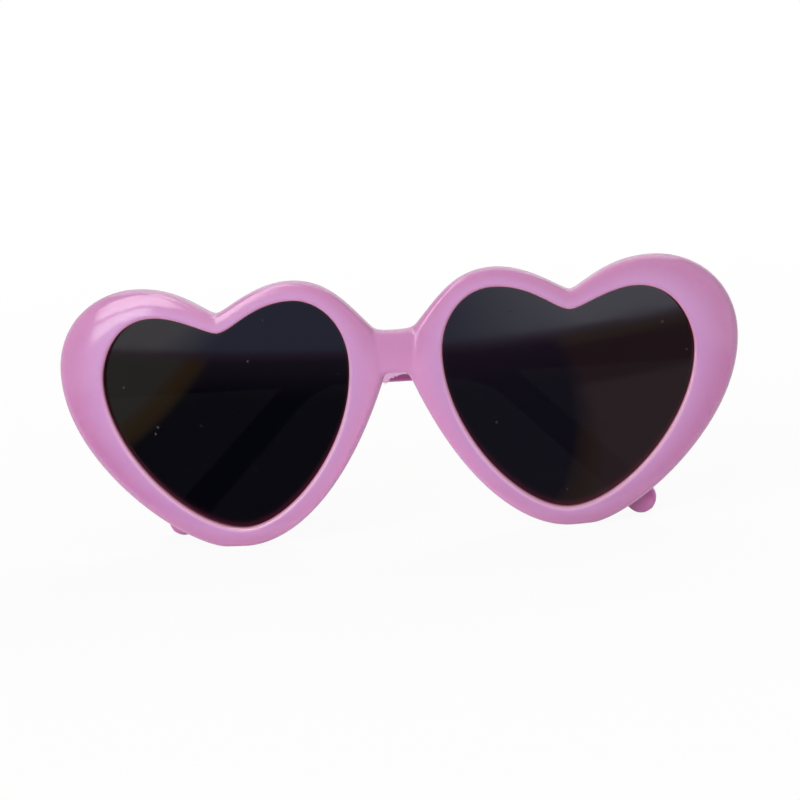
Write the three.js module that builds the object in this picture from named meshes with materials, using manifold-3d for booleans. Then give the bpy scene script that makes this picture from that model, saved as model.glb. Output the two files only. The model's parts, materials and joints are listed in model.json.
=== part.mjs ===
// Pet sunglasses with heart-shaped lenses, in millimetres, +Z up.
// The front faces -Y and the wearer is on the +Y side. The pair stands folded, on the points of
// the two rims and on the two ear ends, with z = 0 on the surface below.
import * as THREE from 'three';
import { mergeVertices } from 'three/addons/utils/BufferGeometryUtils.js';
import Module from 'manifold-3d';

// Front
const FACE_RADIUS = 150;         // the front bends back from the nose on this radius
const RIM_DEPTH = 3.0;           // front to back, at the crest
const OUTER_CROWN = 0.6;         // how far the rim's face falls from its crest to the outer edge
const INNER_CROWN = 0.2;         // and to the lens opening
const CREST_SHARE = 0.6;         // place of the crest, as a share of the width from the outer edge
const OUTER_EDGE_RADIUS = 0.9;
const INNER_EDGE_RADIUS = 0.4;
const BACK_EDGE = 0.3;           // broken edge round the back

// Lens openings, seen from the front
const LENS_GAP = 11.6;           // between the two openings, over the nose
const OPENING_WIDTH = 31.2;
const OPENING_HEIGHT = 28.1;     // from the point to the top of the inner lobe

// Rim widths
const RIM_BELOW = 2.4;           // under the point
const RIM_OUTSIDE = 5.65;
const RIM_OUTER_LOBE = 3.55;
const RIM_CLEFT = 2.35;
const RIM_INNER_LOBE = 2.3;
const FOOT_LENGTH = 2.2;         // flat under each point

// Bridge
const BRIDGE_TOP = 25.9;
const BRIDGE_HEIGHT = 5.4;
const BRIDGE_RECESS = 0.5;       // behind the rims' crests
const BRIDGE_HALF_LENGTH = 2.8;
const NOSE_FLAT = 1.8;           // flat under the bridge, across

// Lenses
const LENS_THICKNESS = 1.2;
const LENS_SET_BACK = 1.3;       // lens face behind the rim's crest
const LENS_LAP = 0.55;           // hold in the groove, all round
const LENS_PLAY = 0.15;

// Hinges
const HINGE_HEIGHT = 21.65;      // middle of the hinge above the surface
const BARREL_RADIUS = 0.95;
const BARREL_GAP = 0.2;          // barrel to the parts that pass it
const KNUCKLE_LENGTH = 1.5;
const KNUCKLE_PLAY = 0.15;
const SCREW_RADIUS = 0.5;
const BORE_PLAY = 0.1;
const HEAD_RADIUS = 0.85;
const HEAD_HEIGHT = 0.55;
const LEAF_THICKNESS = 0.6;
const LEAF_PLAY = 0.15;
const FRONT_LEAF_HEIGHT = 5.2;
const TEMPLE_LEAF_HEIGHT = 3;
const TEMPLE_LEAF_LENGTH = 6.5;
const SEAT_RISE = 0.3;           // hinge seat behind the rim's back
const BUTT_GAP = 0.35;           // end piece to temple, when open

// Temples
const TEMPLE_THICKNESS = 2.2;
const TEMPLE_INSET = 0.75;       // temple's outer face inside the rim's outer edge
const ROOT_HEIGHT = 6.2;
const NECK_HEIGHT = 3.4;         // where the ear bend starts
const TIP_HEIGHT = 3.9;          // round ear end
const STRAIGHT_LENGTH = 45;      // hinge axis to ear bend
const DROOP = THREE.MathUtils.degToRad(1.9);
const EAR_ANGLE = THREE.MathUtils.degToRad(45);
const BEND_RADIUS = 12;
const TEMPLE_EDGE = 0.5;
const FOLD_GAP = 0.5;            // folded left temple to the rim behind its tip
const STACK_GAP = 0.35;          // folded right temple to the left one

// Corners
const FINE_STEPS = 24;           // points along each curve where distances are measured
const BARREL_SIDES = 20;         // round a hinge barrel or screw

const wasm = await Module();
wasm.setup();

const frameMaterial = new THREE.MeshStandardMaterial({ color: 0xcb90c3, roughness: 0.25, metalness: 0 });
const lensMaterial = new THREE.MeshStandardMaterial({
  color: 0x17161c, roughness: 0.08, metalness: 0, transparent: true, opacity: 0.9,
});
const metalMaterial = new THREE.MeshStandardMaterial({ color: 0xc9c6c0, roughness: 0.35, metalness: 1 });

// Solids: joins and cuts on closed geometries

function toManifold(geometry) {
  const bare = geometry.clone();
  bare.deleteAttribute('normal');
  bare.deleteAttribute('uv');
  const merged = mergeVertices(bare, 1e-4);
  const vertProperties = new Float32Array(merged.attributes.position.array);
  const triVerts = new Uint32Array(merged.index.array);
  return new wasm.Manifold(new wasm.Mesh({ numProp: 3, vertProperties, triVerts }));
}

function toGeometry(manifold) {
  const mesh = manifold.getMesh();
  const geometry = new THREE.BufferGeometry();
  geometry.setAttribute('position', new THREE.BufferAttribute(mesh.vertProperties.slice(), 3));
  geometry.setIndex(new THREE.BufferAttribute(mesh.triVerts.slice(), 1));
  geometry.computeVertexNormals();
  return geometry;
}

function joined(geometries, cuts = []) {
  let solid = toManifold(geometries[0]);
  for (const geometry of geometries.slice(1)) solid = solid.add(toManifold(geometry));
  for (const geometry of cuts) solid = solid.subtract(toManifold(geometry));
  return toGeometry(solid);
}

// A closed geometry from corner positions and triangles
function closedGeometry(positions, triangles) {
  const geometry = new THREE.BufferGeometry();
  geometry.setAttribute('position', new THREE.Float32BufferAttribute(positions, 3));
  geometry.setIndex(triangles);
  const merged = mergeVertices(geometry, 1e-4);
  merged.computeVertexNormals();
  return merged;
}

// The same shape on the other side of the middle plane
function mirrored(geometry) {
  const copy = geometry.clone();
  copy.scale(-1, 1, 1);
  const index = copy.index ? Array.from(copy.index.array) : [...Array(copy.attributes.position.count).keys()];
  for (let i = 0; i < index.length; i += 3) {
    const last = index[i + 2];
    index[i + 2] = index[i + 1];
    index[i + 1] = last;
  }
  copy.setIndex(index);
  return copy;
}

function box(x0, x1, y0, y1, z0, z1) {
  const geometry = new THREE.BoxGeometry(x1 - x0, y1 - y0, z1 - z0);
  geometry.translate((x0 + x1) / 2, (y0 + y1) / 2, (z0 + z1) / 2);
  return geometry;
}

function upright(radius, z0, z1, sides = BARREL_SIDES) {
  const geometry = new THREE.CylinderGeometry(radius, radius, z1 - z0, sides);
  geometry.rotateX(Math.PI / 2);
  geometry.translate(0, 0, (z0 + z1) / 2);
  return geometry;
}

// Heart outlines of the right side, as x from the middle plane and z from the surface.
// Each anchor has a direction, handle lengths before and after it, and the steps to the next one.

const LEFTWARD = Math.PI;
const DOWNWARD = -Math.PI / 2;
const RIGHTWARD = 0;
const UPWARD = Math.PI / 2;

const nearX = LENS_GAP / 2;
const farX = nearX + OPENING_WIDTH;
const across = (share) => nearX + share * OPENING_WIDTH;
const above = (share) => RIM_BELOW + share * OPENING_HEIGHT;
const wide = (share) => share * OPENING_WIDTH;
const tall = (share) => share * OPENING_HEIGHT;

const cleft = { x: across(0.519), z: above(0.874), turn: LEFTWARD, before: wide(0.04), after: wide(0.061) };
const innerLobe = { x: across(0.212), z: above(1), turn: LEFTWARD, before: wide(0.163), after: wide(0.107) };
const nearSide = { x: nearX, z: above(0.71), turn: DOWNWARD, before: tall(0.179), after: tall(0.36) };
const point = { x: across(0.468), z: above(0), turn: RIGHTWARD, before: wide(0.183), after: wide(0.215) };
const farSide = { x: farX, z: above(0.673), turn: UPWARD, before: tall(0.317), after: tall(0.093) };
const outerLobe = { x: across(0.776), z: above(0.954), turn: LEFTWARD, before: wide(0.168), after: wide(0.102) };
const openingAnchors = [cleft, innerLobe, nearSide, point, farSide, outerLobe];

const bridgeBottom = BRIDGE_TOP - BRIDGE_HEIGHT;
const outlineAnchors = [
  { x: cleft.x, z: cleft.z + RIM_CLEFT, turn: LEFTWARD, before: wide(0.04), after: wide(0.03), steps: 7 },
  {
    x: innerLobe.x + 0.1 * RIM_INNER_LOBE, z: innerLobe.z + RIM_INNER_LOBE,
    turn: LEFTWARD, before: wide(0.144), after: wide(0.157), steps: 6,
  },
  {
    x: BRIDGE_HALF_LENGTH, z: BRIDGE_TOP + 0.22 * BRIDGE_HALF_LENGTH,
    turn: 1.26 * Math.PI, before: wide(0.128), after: 0.25 * BRIDGE_HALF_LENGTH, steps: 3,
  },
  { x: 0, z: BRIDGE_TOP, turn: LEFTWARD, before: 0.6 * BRIDGE_HALF_LENGTH, after: 0, steps: 4, middle: true },
  { x: 0, z: bridgeBottom, turn: RIGHTWARD, before: 0, after: 0, steps: 1 },
  { x: NOSE_FLAT / 2, z: bridgeBottom, turn: RIGHTWARD, before: 0, after: 0.3 * NOSE_FLAT, steps: 3 },
  {
    x: 0.68 * BRIDGE_HALF_LENGTH, z: bridgeBottom - 0.2 * BRIDGE_HEIGHT,
    turn: -0.377 * Math.PI, before: 0.35 * NOSE_FLAT, after: tall(0.55), steps: 11,
  },
  { x: point.x + 0.2, z: 0, turn: RIGHTWARD, before: wide(0.175), after: 0, steps: 1 },
  { x: point.x + 0.2 + FOOT_LENGTH, z: 0, turn: RIGHTWARD, before: 0, after: wide(0.15), steps: 12 },
  {
    x: farX + RIM_OUTSIDE, z: farSide.z + 0.2 * RIM_OUTSIDE,
    turn: UPWARD, before: tall(0.435), after: tall(0.217), steps: 8,
  },
  {
    x: outerLobe.x + 0.55 * RIM_OUTER_LOBE, z: outerLobe.z + RIM_OUTER_LOBE,
    turn: LEFTWARD, before: wide(0.189), after: wide(0.186), steps: 8,
  },
];

// Points along the curves between the anchors, round and back to the first one.
// A point on the stretch across the bridge's middle is marked as such.
function outlinePoints(anchors, stepsFor) {
  const points = [];
  anchors.forEach((from, i) => {
    const to = anchors[(i + 1) % anchors.length];
    const curve = new THREE.CubicBezierCurve(
      new THREE.Vector2(from.x, from.z),
      new THREE.Vector2(from.x + from.after * Math.cos(from.turn), from.z + from.after * Math.sin(from.turn)),
      new THREE.Vector2(to.x - to.before * Math.cos(to.turn), to.z - to.before * Math.sin(to.turn)),
      new THREE.Vector2(to.x, to.z),
    );
    const steps = stepsFor(from);
    for (let k = 0; k < steps; k += 1) {
      const at = curve.getPoint(k / steps);
      at.middle = Boolean(from.middle);
      points.push(at);
    }
  });
  return points;
}

const heartCentre = new THREE.Vector2(across(0.487), above(0.53));
const openingFine = outlinePoints(openingAnchors, () => FINE_STEPS);
const outlineFine = outlinePoints(outlineAnchors, () => FINE_STEPS);
const ringPoints = outlinePoints(outlineAnchors, (anchor) => anchor.steps);

// Distance along a ray from the heart's centre to a closed outline
function reach(outline, direction) {
  let best = 0;
  outline.forEach((from, i) => {
    const to = outline[(i + 1) % outline.length];
    const a = from.clone().sub(heartCentre);
    const b = to.clone().sub(heartCentre);
    const sideA = direction.cross(a);
    const sideB = direction.cross(b);
    if (sideA * sideB > 0 || sideA === sideB) return;
    const hit = a.lerp(b, sideA / (sideA - sideB)).dot(direction);
    if (hit > best) best = hit;
  });
  return best;
}

// Nearest distance from a place to an outline, leaving out the stretch inside the bridge
function clearance(outline, place) {
  let best = Infinity;
  outline.forEach((from, i) => {
    if (from.middle) return;
    const to = outline[(i + 1) % outline.length];
    const run = to.clone().sub(from);
    const share = THREE.MathUtils.clamp(place.clone().sub(from).dot(run) / run.lengthSq(), 0, 1);
    best = Math.min(best, from.clone().addScaledVector(run, share).distanceTo(place));
  });
  return best;
}

const sag = (x) => (x * x) / (2 * FACE_RADIUS);

function rounding(distance, radius) {
  if (distance >= radius) return 0;
  return radius - Math.sqrt(radius * radius - (radius - distance) ** 2);
}

// Depth of the front surface: crowned over the rims, rounded at the edges, set back at the bridge
function faceDepth(place) {
  const toOuter = clearance(outlineFine, place);
  const toInner = clearance(openingFine, place);
  const share = toOuter / (toOuter + toInner);
  const crown = share < CREST_SHARE
    ? OUTER_CROWN * (1 - share / CREST_SHARE) ** 2
    : INNER_CROWN * ((share - CREST_SHARE) / (1 - CREST_SHARE)) ** 2;
  const edges = rounding(toOuter, OUTER_EDGE_RADIUS) + rounding(toInner, INNER_EDGE_RADIUS);
  const recess = 1 - THREE.MathUtils.smoothstep(place.x, 0.6 * BRIDGE_HALF_LENGTH, 1.25 * BRIDGE_HALF_LENGTH);
  return crown + edges + BRIDGE_RECESS * recess;
}

const backDepth = (place) => RIM_DEPTH - Math.max(0, BACK_EDGE - clearance(outlineFine, place));

// Half of the front: a ring between the lens opening and the outline, with the lens groove inside it
function halfFront() {
  const faceShares = [1, 0.9, 0.7, 0.4, 0.14, 0];
  const backShares = [0, 0.86, 1];
  const grooveFront = LENS_SET_BACK - LENS_PLAY;
  const grooveBack = LENS_SET_BACK + LENS_THICKNESS + LENS_PLAY;
  const positions = [];
  const columns = ringPoints.map((corner) => {
    const direction = corner.clone().sub(heartCentre);
    const outer = direction.length();
    direction.normalize();
    const inner = reach(openingFine, direction);
    const column = [];
    const put = (radius, depth) => {
      const place = heartCentre.clone().addScaledVector(direction, radius);
      const x = radius === outer ? corner.x : place.x;
      column.push(positions.length / 3);
      positions.push(x, sag(x) + depth(place), radius === outer ? corner.y : place.y);
    };
    const at = (share) => (share === 1 ? outer : inner + share * (outer - inner));
    faceShares.forEach((share) => put(at(share), faceDepth));
    put(inner, () => grooveFront);
    put(inner + LENS_LAP + LENS_PLAY, () => grooveFront);
    put(inner + LENS_LAP + LENS_PLAY, () => grooveBack);
    put(inner, () => grooveBack);
    backShares.forEach((share) => put(at(share), backDepth));
    return column;
  });
  const triangles = [];
  columns.forEach((column, j) => {
    const next = columns[(j + 1) % columns.length];
    const open = ringPoints[j].middle;
    column.forEach((corner, k) => {
      if (open && k === column.length - 1) return;
      const k1 = (k + 1) % column.length;
      triangles.push(corner, next[k1], column[k1], corner, next[k], next[k1]);
    });
  });
  return { positions, triangles };
}

function wholeFront() {
  const half = halfFront();
  const count = half.positions.length / 3;
  const positions = [...half.positions];
  for (let i = 0; i < count; i += 1) {
    positions.push(-half.positions[3 * i], half.positions[3 * i + 1], half.positions[3 * i + 2]);
  }
  const triangles = [...half.triangles];
  for (let i = 0; i < half.triangles.length; i += 3) {
    const [a, b, c] = half.triangles.slice(i, i + 3);
    triangles.push(count + b, count + a, count + c);
  }
  return closedGeometry(positions, triangles);
}

// Lens: a bent plate whose edge sits in the groove
function lensGeometry() {
  const ringShares = [0.35, 0.7, 1];
  const positions = [];
  const triangles = [];
  const faces = [LENS_SET_BACK, LENS_SET_BACK + LENS_THICKNESS].map((depth) => {
    const centre = positions.length / 3;
    positions.push(heartCentre.x, sag(heartCentre.x) + depth, heartCentre.y);
    const rings = ringShares.map((share) => ringPoints.map((corner) => {
      const direction = corner.clone().sub(heartCentre).normalize();
      const radius = share * (reach(openingFine, direction) + LENS_LAP);
      const place = heartCentre.clone().addScaledVector(direction, radius);
      positions.push(place.x, sag(place.x) + depth, place.y);
      return positions.length / 3 - 1;
    }));
    return { centre, rings };
  });
  const count = ringPoints.length;
  const last = ringShares.length - 1;
  for (let j = 0; j < count; j += 1) {
    const n = (j + 1) % count;
    const [front, back] = faces;
    triangles.push(front.centre, front.rings[0][j], front.rings[0][n]);
    triangles.push(back.centre, back.rings[0][n], back.rings[0][j]);
    for (let k = 0; k < last; k += 1) {
      const [f0, f1] = [front.rings[k], front.rings[k + 1]];
      const [b0, b1] = [back.rings[k], back.rings[k + 1]];
      triangles.push(f0[j], f1[j], f1[n], f0[j], f1[n], f0[n]);
      triangles.push(b0[j], b1[n], b1[j], b0[j], b0[n], b1[n]);
    }
    const [f, b] = [front.rings[last], back.rings[last]];
    triangles.push(f[j], b[j], b[n], f[j], b[n], f[n]);
  }
  return closedGeometry(positions, triangles);
}

// Hinge places on the right side. Around the axis, p points outward and q backward.

const temple = { outerX: farX + RIM_OUTSIDE - TEMPLE_INSET };
temple.innerX = temple.outerX - TEMPLE_THICKNESS;
const axisX = temple.innerX - BARREL_GAP - BARREL_RADIUS;
const seatY = sag(temple.innerX) + RIM_DEPTH + SEAT_RISE;
const axisY = seatY + BARREL_GAP + BARREL_RADIUS;
const innerP = temple.innerX - axisX;
const outerP = temple.outerX - axisX;
const rootLow = HINGE_HEIGHT - ROOT_HEIGHT / 2;
const rootHigh = HINGE_HEIGHT + ROOT_HEIGHT / 2;
const knucklePitch = KNUCKLE_LENGTH + KNUCKLE_PLAY;
const hingeTop = HINGE_HEIGHT + knucklePitch + KNUCKLE_LENGTH / 2;
const hingeBottom = HINGE_HEIGHT - knucklePitch - KNUCKLE_LENGTH / 2;
const leafNearX = axisX - BARREL_RADIUS;
const leafFarX = axisX + BARREL_RADIUS;
const seatNearX = leafNearX - 2 * LEAF_PLAY;
const buttY = axisY - BUTT_GAP / 3;
const rootQ = 2 * BUTT_GAP / 3;

// End piece behind the rim: an outer block that the open temple butts on, and the hinge seat beside it
function endPiece() {
  const seatStart = sag(seatNearX) + LENS_SET_BACK + LENS_THICKNESS + 2 * LENS_PLAY;
  const blockStart = sag(temple.outerX) + RIM_DEPTH / 2;
  return [
    box(temple.innerX - BARREL_GAP, temple.outerX, blockStart, buttY, rootLow, rootHigh),
    box(seatNearX, temple.innerX, seatStart, seatY, rootLow, rootHigh),
  ];
}

function frontLeafPocket() {
  const halfHeight = FRONT_LEAF_HEIGHT / 2 + LEAF_PLAY;
  return box(
    leafNearX - LEAF_PLAY, leafFarX + LEAF_PLAY, seatY - LEAF_THICKNESS - LEAF_PLAY, axisY,
    HINGE_HEIGHT - halfHeight, HINGE_HEIGHT + halfHeight,
  );
}

const bore = () => upright(SCREW_RADIUS + BORE_PLAY, hingeBottom - 1, hingeTop + 1);

function frontLeaf() {
  const halfHeight = FRONT_LEAF_HEIGHT / 2;
  const base = seatY - axisY;
  const knuckle = (centre) => {
    const [low, high] = [centre - KNUCKLE_LENGTH / 2, centre + KNUCKLE_LENGTH / 2];
    return [
      upright(BARREL_RADIUS, low, high),
      box(-BARREL_RADIUS, BARREL_RADIUS, base - LEAF_THICKNESS / 2, 0, low, high),
    ];
  };
  return joined([
    box(
      -BARREL_RADIUS, BARREL_RADIUS, base - LEAF_THICKNESS, base,
      HINGE_HEIGHT - halfHeight, HINGE_HEIGHT + halfHeight,
    ),
    ...knuckle(HINGE_HEIGHT - knucklePitch),
    ...knuckle(HINGE_HEIGHT + knucklePitch),
  ], [bore()]);
}

function templeLeaf() {
  const halfHeight = TEMPLE_LEAF_HEIGHT / 2;
  const [low, high] = [HINGE_HEIGHT - KNUCKLE_LENGTH / 2, HINGE_HEIGHT + KNUCKLE_LENGTH / 2];
  return joined([
    upright(BARREL_RADIUS, low, high),
    box(0, innerP + LEAF_THICKNESS, 0, BARREL_RADIUS, low, high),
    box(
      innerP, innerP + LEAF_THICKNESS, rootQ, TEMPLE_LEAF_LENGTH,
      HINGE_HEIGHT - halfHeight, HINGE_HEIGHT + halfHeight,
    ),
  ], [bore()]);
}

function templeLeafPocket() {
  const halfHeight = TEMPLE_LEAF_HEIGHT / 2 + LEAF_PLAY;
  return box(
    0, innerP + LEAF_THICKNESS + LEAF_PLAY, -1, TEMPLE_LEAF_LENGTH + LEAF_PLAY,
    HINGE_HEIGHT - halfHeight, HINGE_HEIGHT + halfHeight,
  );
}

// Screw: a turned profile, with a slot across its head
function hingeScrew() {
  const under = hingeTop + KNUCKLE_PLAY / 2;
  const profile = [
    [0, hingeBottom - KNUCKLE_PLAY], [SCREW_RADIUS * 0.8, hingeBottom - KNUCKLE_PLAY],
    [SCREW_RADIUS, hingeBottom], [SCREW_RADIUS, under], [HEAD_RADIUS, under],
    [HEAD_RADIUS, under + HEAD_HEIGHT * 0.6], [HEAD_RADIUS * 0.7, under + HEAD_HEIGHT], [0, under + HEAD_HEIGHT],
  ].map(([radius, z]) => new THREE.Vector2(radius, z));
  const turned = new THREE.LatheGeometry(profile, BARREL_SIDES);
  turned.rotateX(Math.PI / 2);
  const slotHalf = HEAD_RADIUS * 0.16;
  const slot = box(
    -HEAD_RADIUS * 2, HEAD_RADIUS * 2, -slotHalf, slotHalf, under + HEAD_HEIGHT * 0.55, under + HEAD_HEIGHT * 2,
  );
  return joined([turned], [slot]);
}

// Temple: a tapered arm that bends down to a round ear end on the standing surface

const bendStart = { q: STRAIGHT_LENGTH, z: HINGE_HEIGHT - (STRAIGHT_LENGTH - rootQ) * Math.tan(DROOP) };
const bendCentre = {
  q: bendStart.q - BEND_RADIUS * Math.sin(DROOP),
  z: bendStart.z - BEND_RADIUS * Math.cos(DROOP),
};
const onBend = (angle, radius) => ({
  q: bendCentre.q + radius * Math.sin(angle),
  z: bendCentre.z + radius * Math.cos(angle),
});
const bendEnd = onBend(EAR_ANGLE, BEND_RADIUS);
const earLength = (bendEnd.z - TIP_HEIGHT / 2) / Math.sin(EAR_ANGLE);
const tip = { q: bendEnd.q + earLength * Math.cos(EAR_ANGLE), z: TIP_HEIGHT / 2 };

function templeOutline() {
  const bendSteps = 6;
  const tipSteps = 6;
  const outline = [new THREE.Vector2(rootQ, rootLow), new THREE.Vector2(rootQ, rootHigh)];
  const push = ({ q, z }) => outline.push(new THREE.Vector2(q, z));
  const bendAngle = (k) => THREE.MathUtils.lerp(DROOP, EAR_ANGLE, k / bendSteps);
  for (let k = 0; k <= bendSteps; k += 1) push(onBend(bendAngle(k), BEND_RADIUS + NECK_HEIGHT / 2));
  const tipFrom = Math.PI / 2 - EAR_ANGLE;
  const tipTo = -Math.PI / 2 - EAR_ANGLE;
  const roundTip = (angle) => push({
    q: tip.q + TIP_HEIGHT / 2 * Math.cos(angle),
    z: tip.z + TIP_HEIGHT / 2 * Math.sin(angle),
  });
  for (let k = 0; k <= tipSteps; k += 1) roundTip(THREE.MathUtils.lerp(tipFrom, -Math.PI / 2, k / tipSteps));
  for (let k = 1; k <= tipSteps / 3; k += 1) roundTip(THREE.MathUtils.lerp(-Math.PI / 2, tipTo, 3 * k / tipSteps));
  for (let k = bendSteps; k >= 0; k -= 1) push(onBend(bendAngle(k), BEND_RADIUS - NECK_HEIGHT / 2));
  return outline;
}

function templeArm() {
  const arm = new THREE.ExtrudeGeometry(new THREE.Shape(templeOutline()), {
    depth: TEMPLE_THICKNESS - 2 * TEMPLE_EDGE,
    bevelThickness: TEMPLE_EDGE,
    bevelSize: TEMPLE_EDGE,
    bevelOffset: -TEMPLE_EDGE,
    bevelSegments: 2,
    curveSegments: 1,
  });
  const axes = new THREE.Matrix4().makeBasis(
    new THREE.Vector3(0, 1, 0), new THREE.Vector3(0, 0, 1), new THREE.Vector3(1, 0, 0),
  );
  arm.applyMatrix4(axes);
  arm.translate(innerP + TEMPLE_EDGE, 0, 0);
  return joined([arm], [templeLeafPocket()]);
}

// Folded angles: the left temple leans in until its tip nears the rim, the right one lies over it
const tipX = tip.q + TIP_HEIGHT / 2 - axisX;
const leftLean = Math.atan2(axisY + innerP - sag(tipX) - RIM_DEPTH - FOLD_GAP, axisX + tipX);
const crossX = bendEnd.q + NECK_HEIGHT - axisX;
const stackRise = TEMPLE_THICKNESS + STACK_GAP - (axisX - crossX) * Math.tan(leftLean);
const rightLean = Math.atan2(stackRise, axisX + crossX);

// The assembly

function piece(name, geometry, material) {
  const mesh = new THREE.Mesh(geometry, material);
  mesh.name = name;
  return mesh;
}

const model = new THREE.Group();
model.name = 'pet_sunglasses';

const rightEnd = endPiece();
const rightPocket = frontLeafPocket();
model.add(piece('front_frame', joined(
  [wholeFront(), ...rightEnd, ...rightEnd.map(mirrored)],
  [rightPocket, mirrored(rightPocket)],
), frameMaterial));

const lens = lensGeometry();
const frontLeafShape = frontLeaf();
const screwShape = hingeScrew();
const templeShape = templeArm();
const templeLeafShape = templeLeaf();
const sides = [
  { name: 'left', sign: -1, shaped: mirrored, fold: -(Math.PI / 2 + leftLean) },
  { name: 'right', sign: 1, shaped: (geometry) => geometry, fold: Math.PI / 2 - rightLean },
];
for (const { name, sign, shaped, fold } of sides) {
  model.add(piece(`${name}_lens`, shaped(lens), lensMaterial));
  const hinge = new THREE.Group();
  hinge.position.set(sign * axisX, axisY, 0);
  hinge.add(piece(`${name}_front_hinge_leaf`, shaped(frontLeafShape), metalMaterial));
  hinge.add(piece(`${name}_hinge_screw`, shaped(screwShape), metalMaterial));
  const folded = new THREE.Group();
  folded.rotation.z = fold;
  folded.add(piece(`${name}_temple`, shaped(templeShape), frameMaterial));
  folded.add(piece(`${name}_temple_hinge_leaf`, shaped(templeLeafShape), metalMaterial));
  hinge.add(folded);
  model.add(hinge);
}

// The origin is in the middle of the depth, on the standing surface
model.updateMatrixWorld(true);
const extent = new THREE.Box3().setFromObject(model, true);
model.position.y = -(extent.min.y + extent.max.y) / 2;

export default model;
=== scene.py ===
# %% [markdown]
# # Heart-shaped sunglasses for a pet
#
# The real object is small and light: a front moulded in glossy orchid plastic, two smoked lenses
# held in grooves behind its heart-shaped openings, and two flat temples on little metal hinges.
# It stands folded, on the points of the hearts and on the ends of the temples.
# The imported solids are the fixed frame. Each piece below is a finer copy of one of them, in metres,
# in the same place, so nothing has to be fitted.

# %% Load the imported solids
import json
import math

import bmesh
import bpy
import numpy as np
from mathutils import Matrix, Vector


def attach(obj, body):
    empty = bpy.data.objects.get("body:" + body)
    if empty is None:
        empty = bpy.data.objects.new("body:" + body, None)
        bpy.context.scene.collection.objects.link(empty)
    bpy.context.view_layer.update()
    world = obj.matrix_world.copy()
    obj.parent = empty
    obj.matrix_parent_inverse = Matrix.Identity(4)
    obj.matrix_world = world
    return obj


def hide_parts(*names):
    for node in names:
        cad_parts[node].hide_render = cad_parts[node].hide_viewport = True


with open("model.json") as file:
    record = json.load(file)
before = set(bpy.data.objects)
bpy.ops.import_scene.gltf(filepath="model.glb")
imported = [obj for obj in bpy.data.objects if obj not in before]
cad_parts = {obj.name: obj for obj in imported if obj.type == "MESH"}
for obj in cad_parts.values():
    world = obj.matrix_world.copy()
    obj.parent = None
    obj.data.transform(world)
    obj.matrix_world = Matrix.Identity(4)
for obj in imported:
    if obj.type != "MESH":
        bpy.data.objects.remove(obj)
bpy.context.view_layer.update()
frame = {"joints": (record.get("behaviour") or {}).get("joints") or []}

# %% [markdown]
# ## Node maths in plain Python
#
# Materials and Geometry Nodes both need sums, and a chain of Math nodes made by hand is hard to
# read. A small class wraps a socket and overloads the operators, so `1 - mask * 0.4` adds the nodes
# by itself. Every other node comes from one method that takes its type, settings and sockets.


# %% A socket that does sums
class Sum:
    """A number in a node tree. Arithmetic on it adds Math nodes to the tree."""

    def __init__(self, nodes, socket):
        self.nodes = nodes
        self.socket = socket

    def math(self, operation, *values):
        return self.nodes.math(operation, *values)

    def __add__(self, other):
        return self.math("ADD", self, other)

    def __sub__(self, other):
        return self.math("SUBTRACT", self, other)

    def __rsub__(self, other):
        return self.math("SUBTRACT", other, self)

    def __mul__(self, other):
        return self.math("MULTIPLY", self, other)

    def __truediv__(self, other):
        return self.math("DIVIDE", self, other)

    def __pow__(self, other):
        return self.math("POWER", self, other)

    __radd__ = __add__
    __rmul__ = __mul__

    def sqrt(self):
        return self.math("SQRT", self)

    def sign(self):
        return self.math("SIGN", self)

    def size(self):
        return self.math("ABSOLUTE", self)

    def least(self, other):
        return self.math("MINIMUM", self, other)

    def most(self, other):
        return self.math("MAXIMUM", self, other)

    def held(self):
        """The number, kept between 0 and 1."""
        return self.least(1.0).most(0.0)

    def over(self, start, gain):
        """How far the number is over a start, times a gain, kept between 0 and 1."""
        return ((self - start) * gain).held()

    def eased(self):
        """The number kept between 0 and 1, leaving 0 and reaching 1 gently."""
        kept = self.held()
        return kept * kept * (3.0 - kept * 2.0)


print("helper ready:", Sum.__name__)

# %% A tree that takes any node
MIX_FIRST = 6
MIX_SECOND = 7
MIX_RESULT = 2


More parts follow.
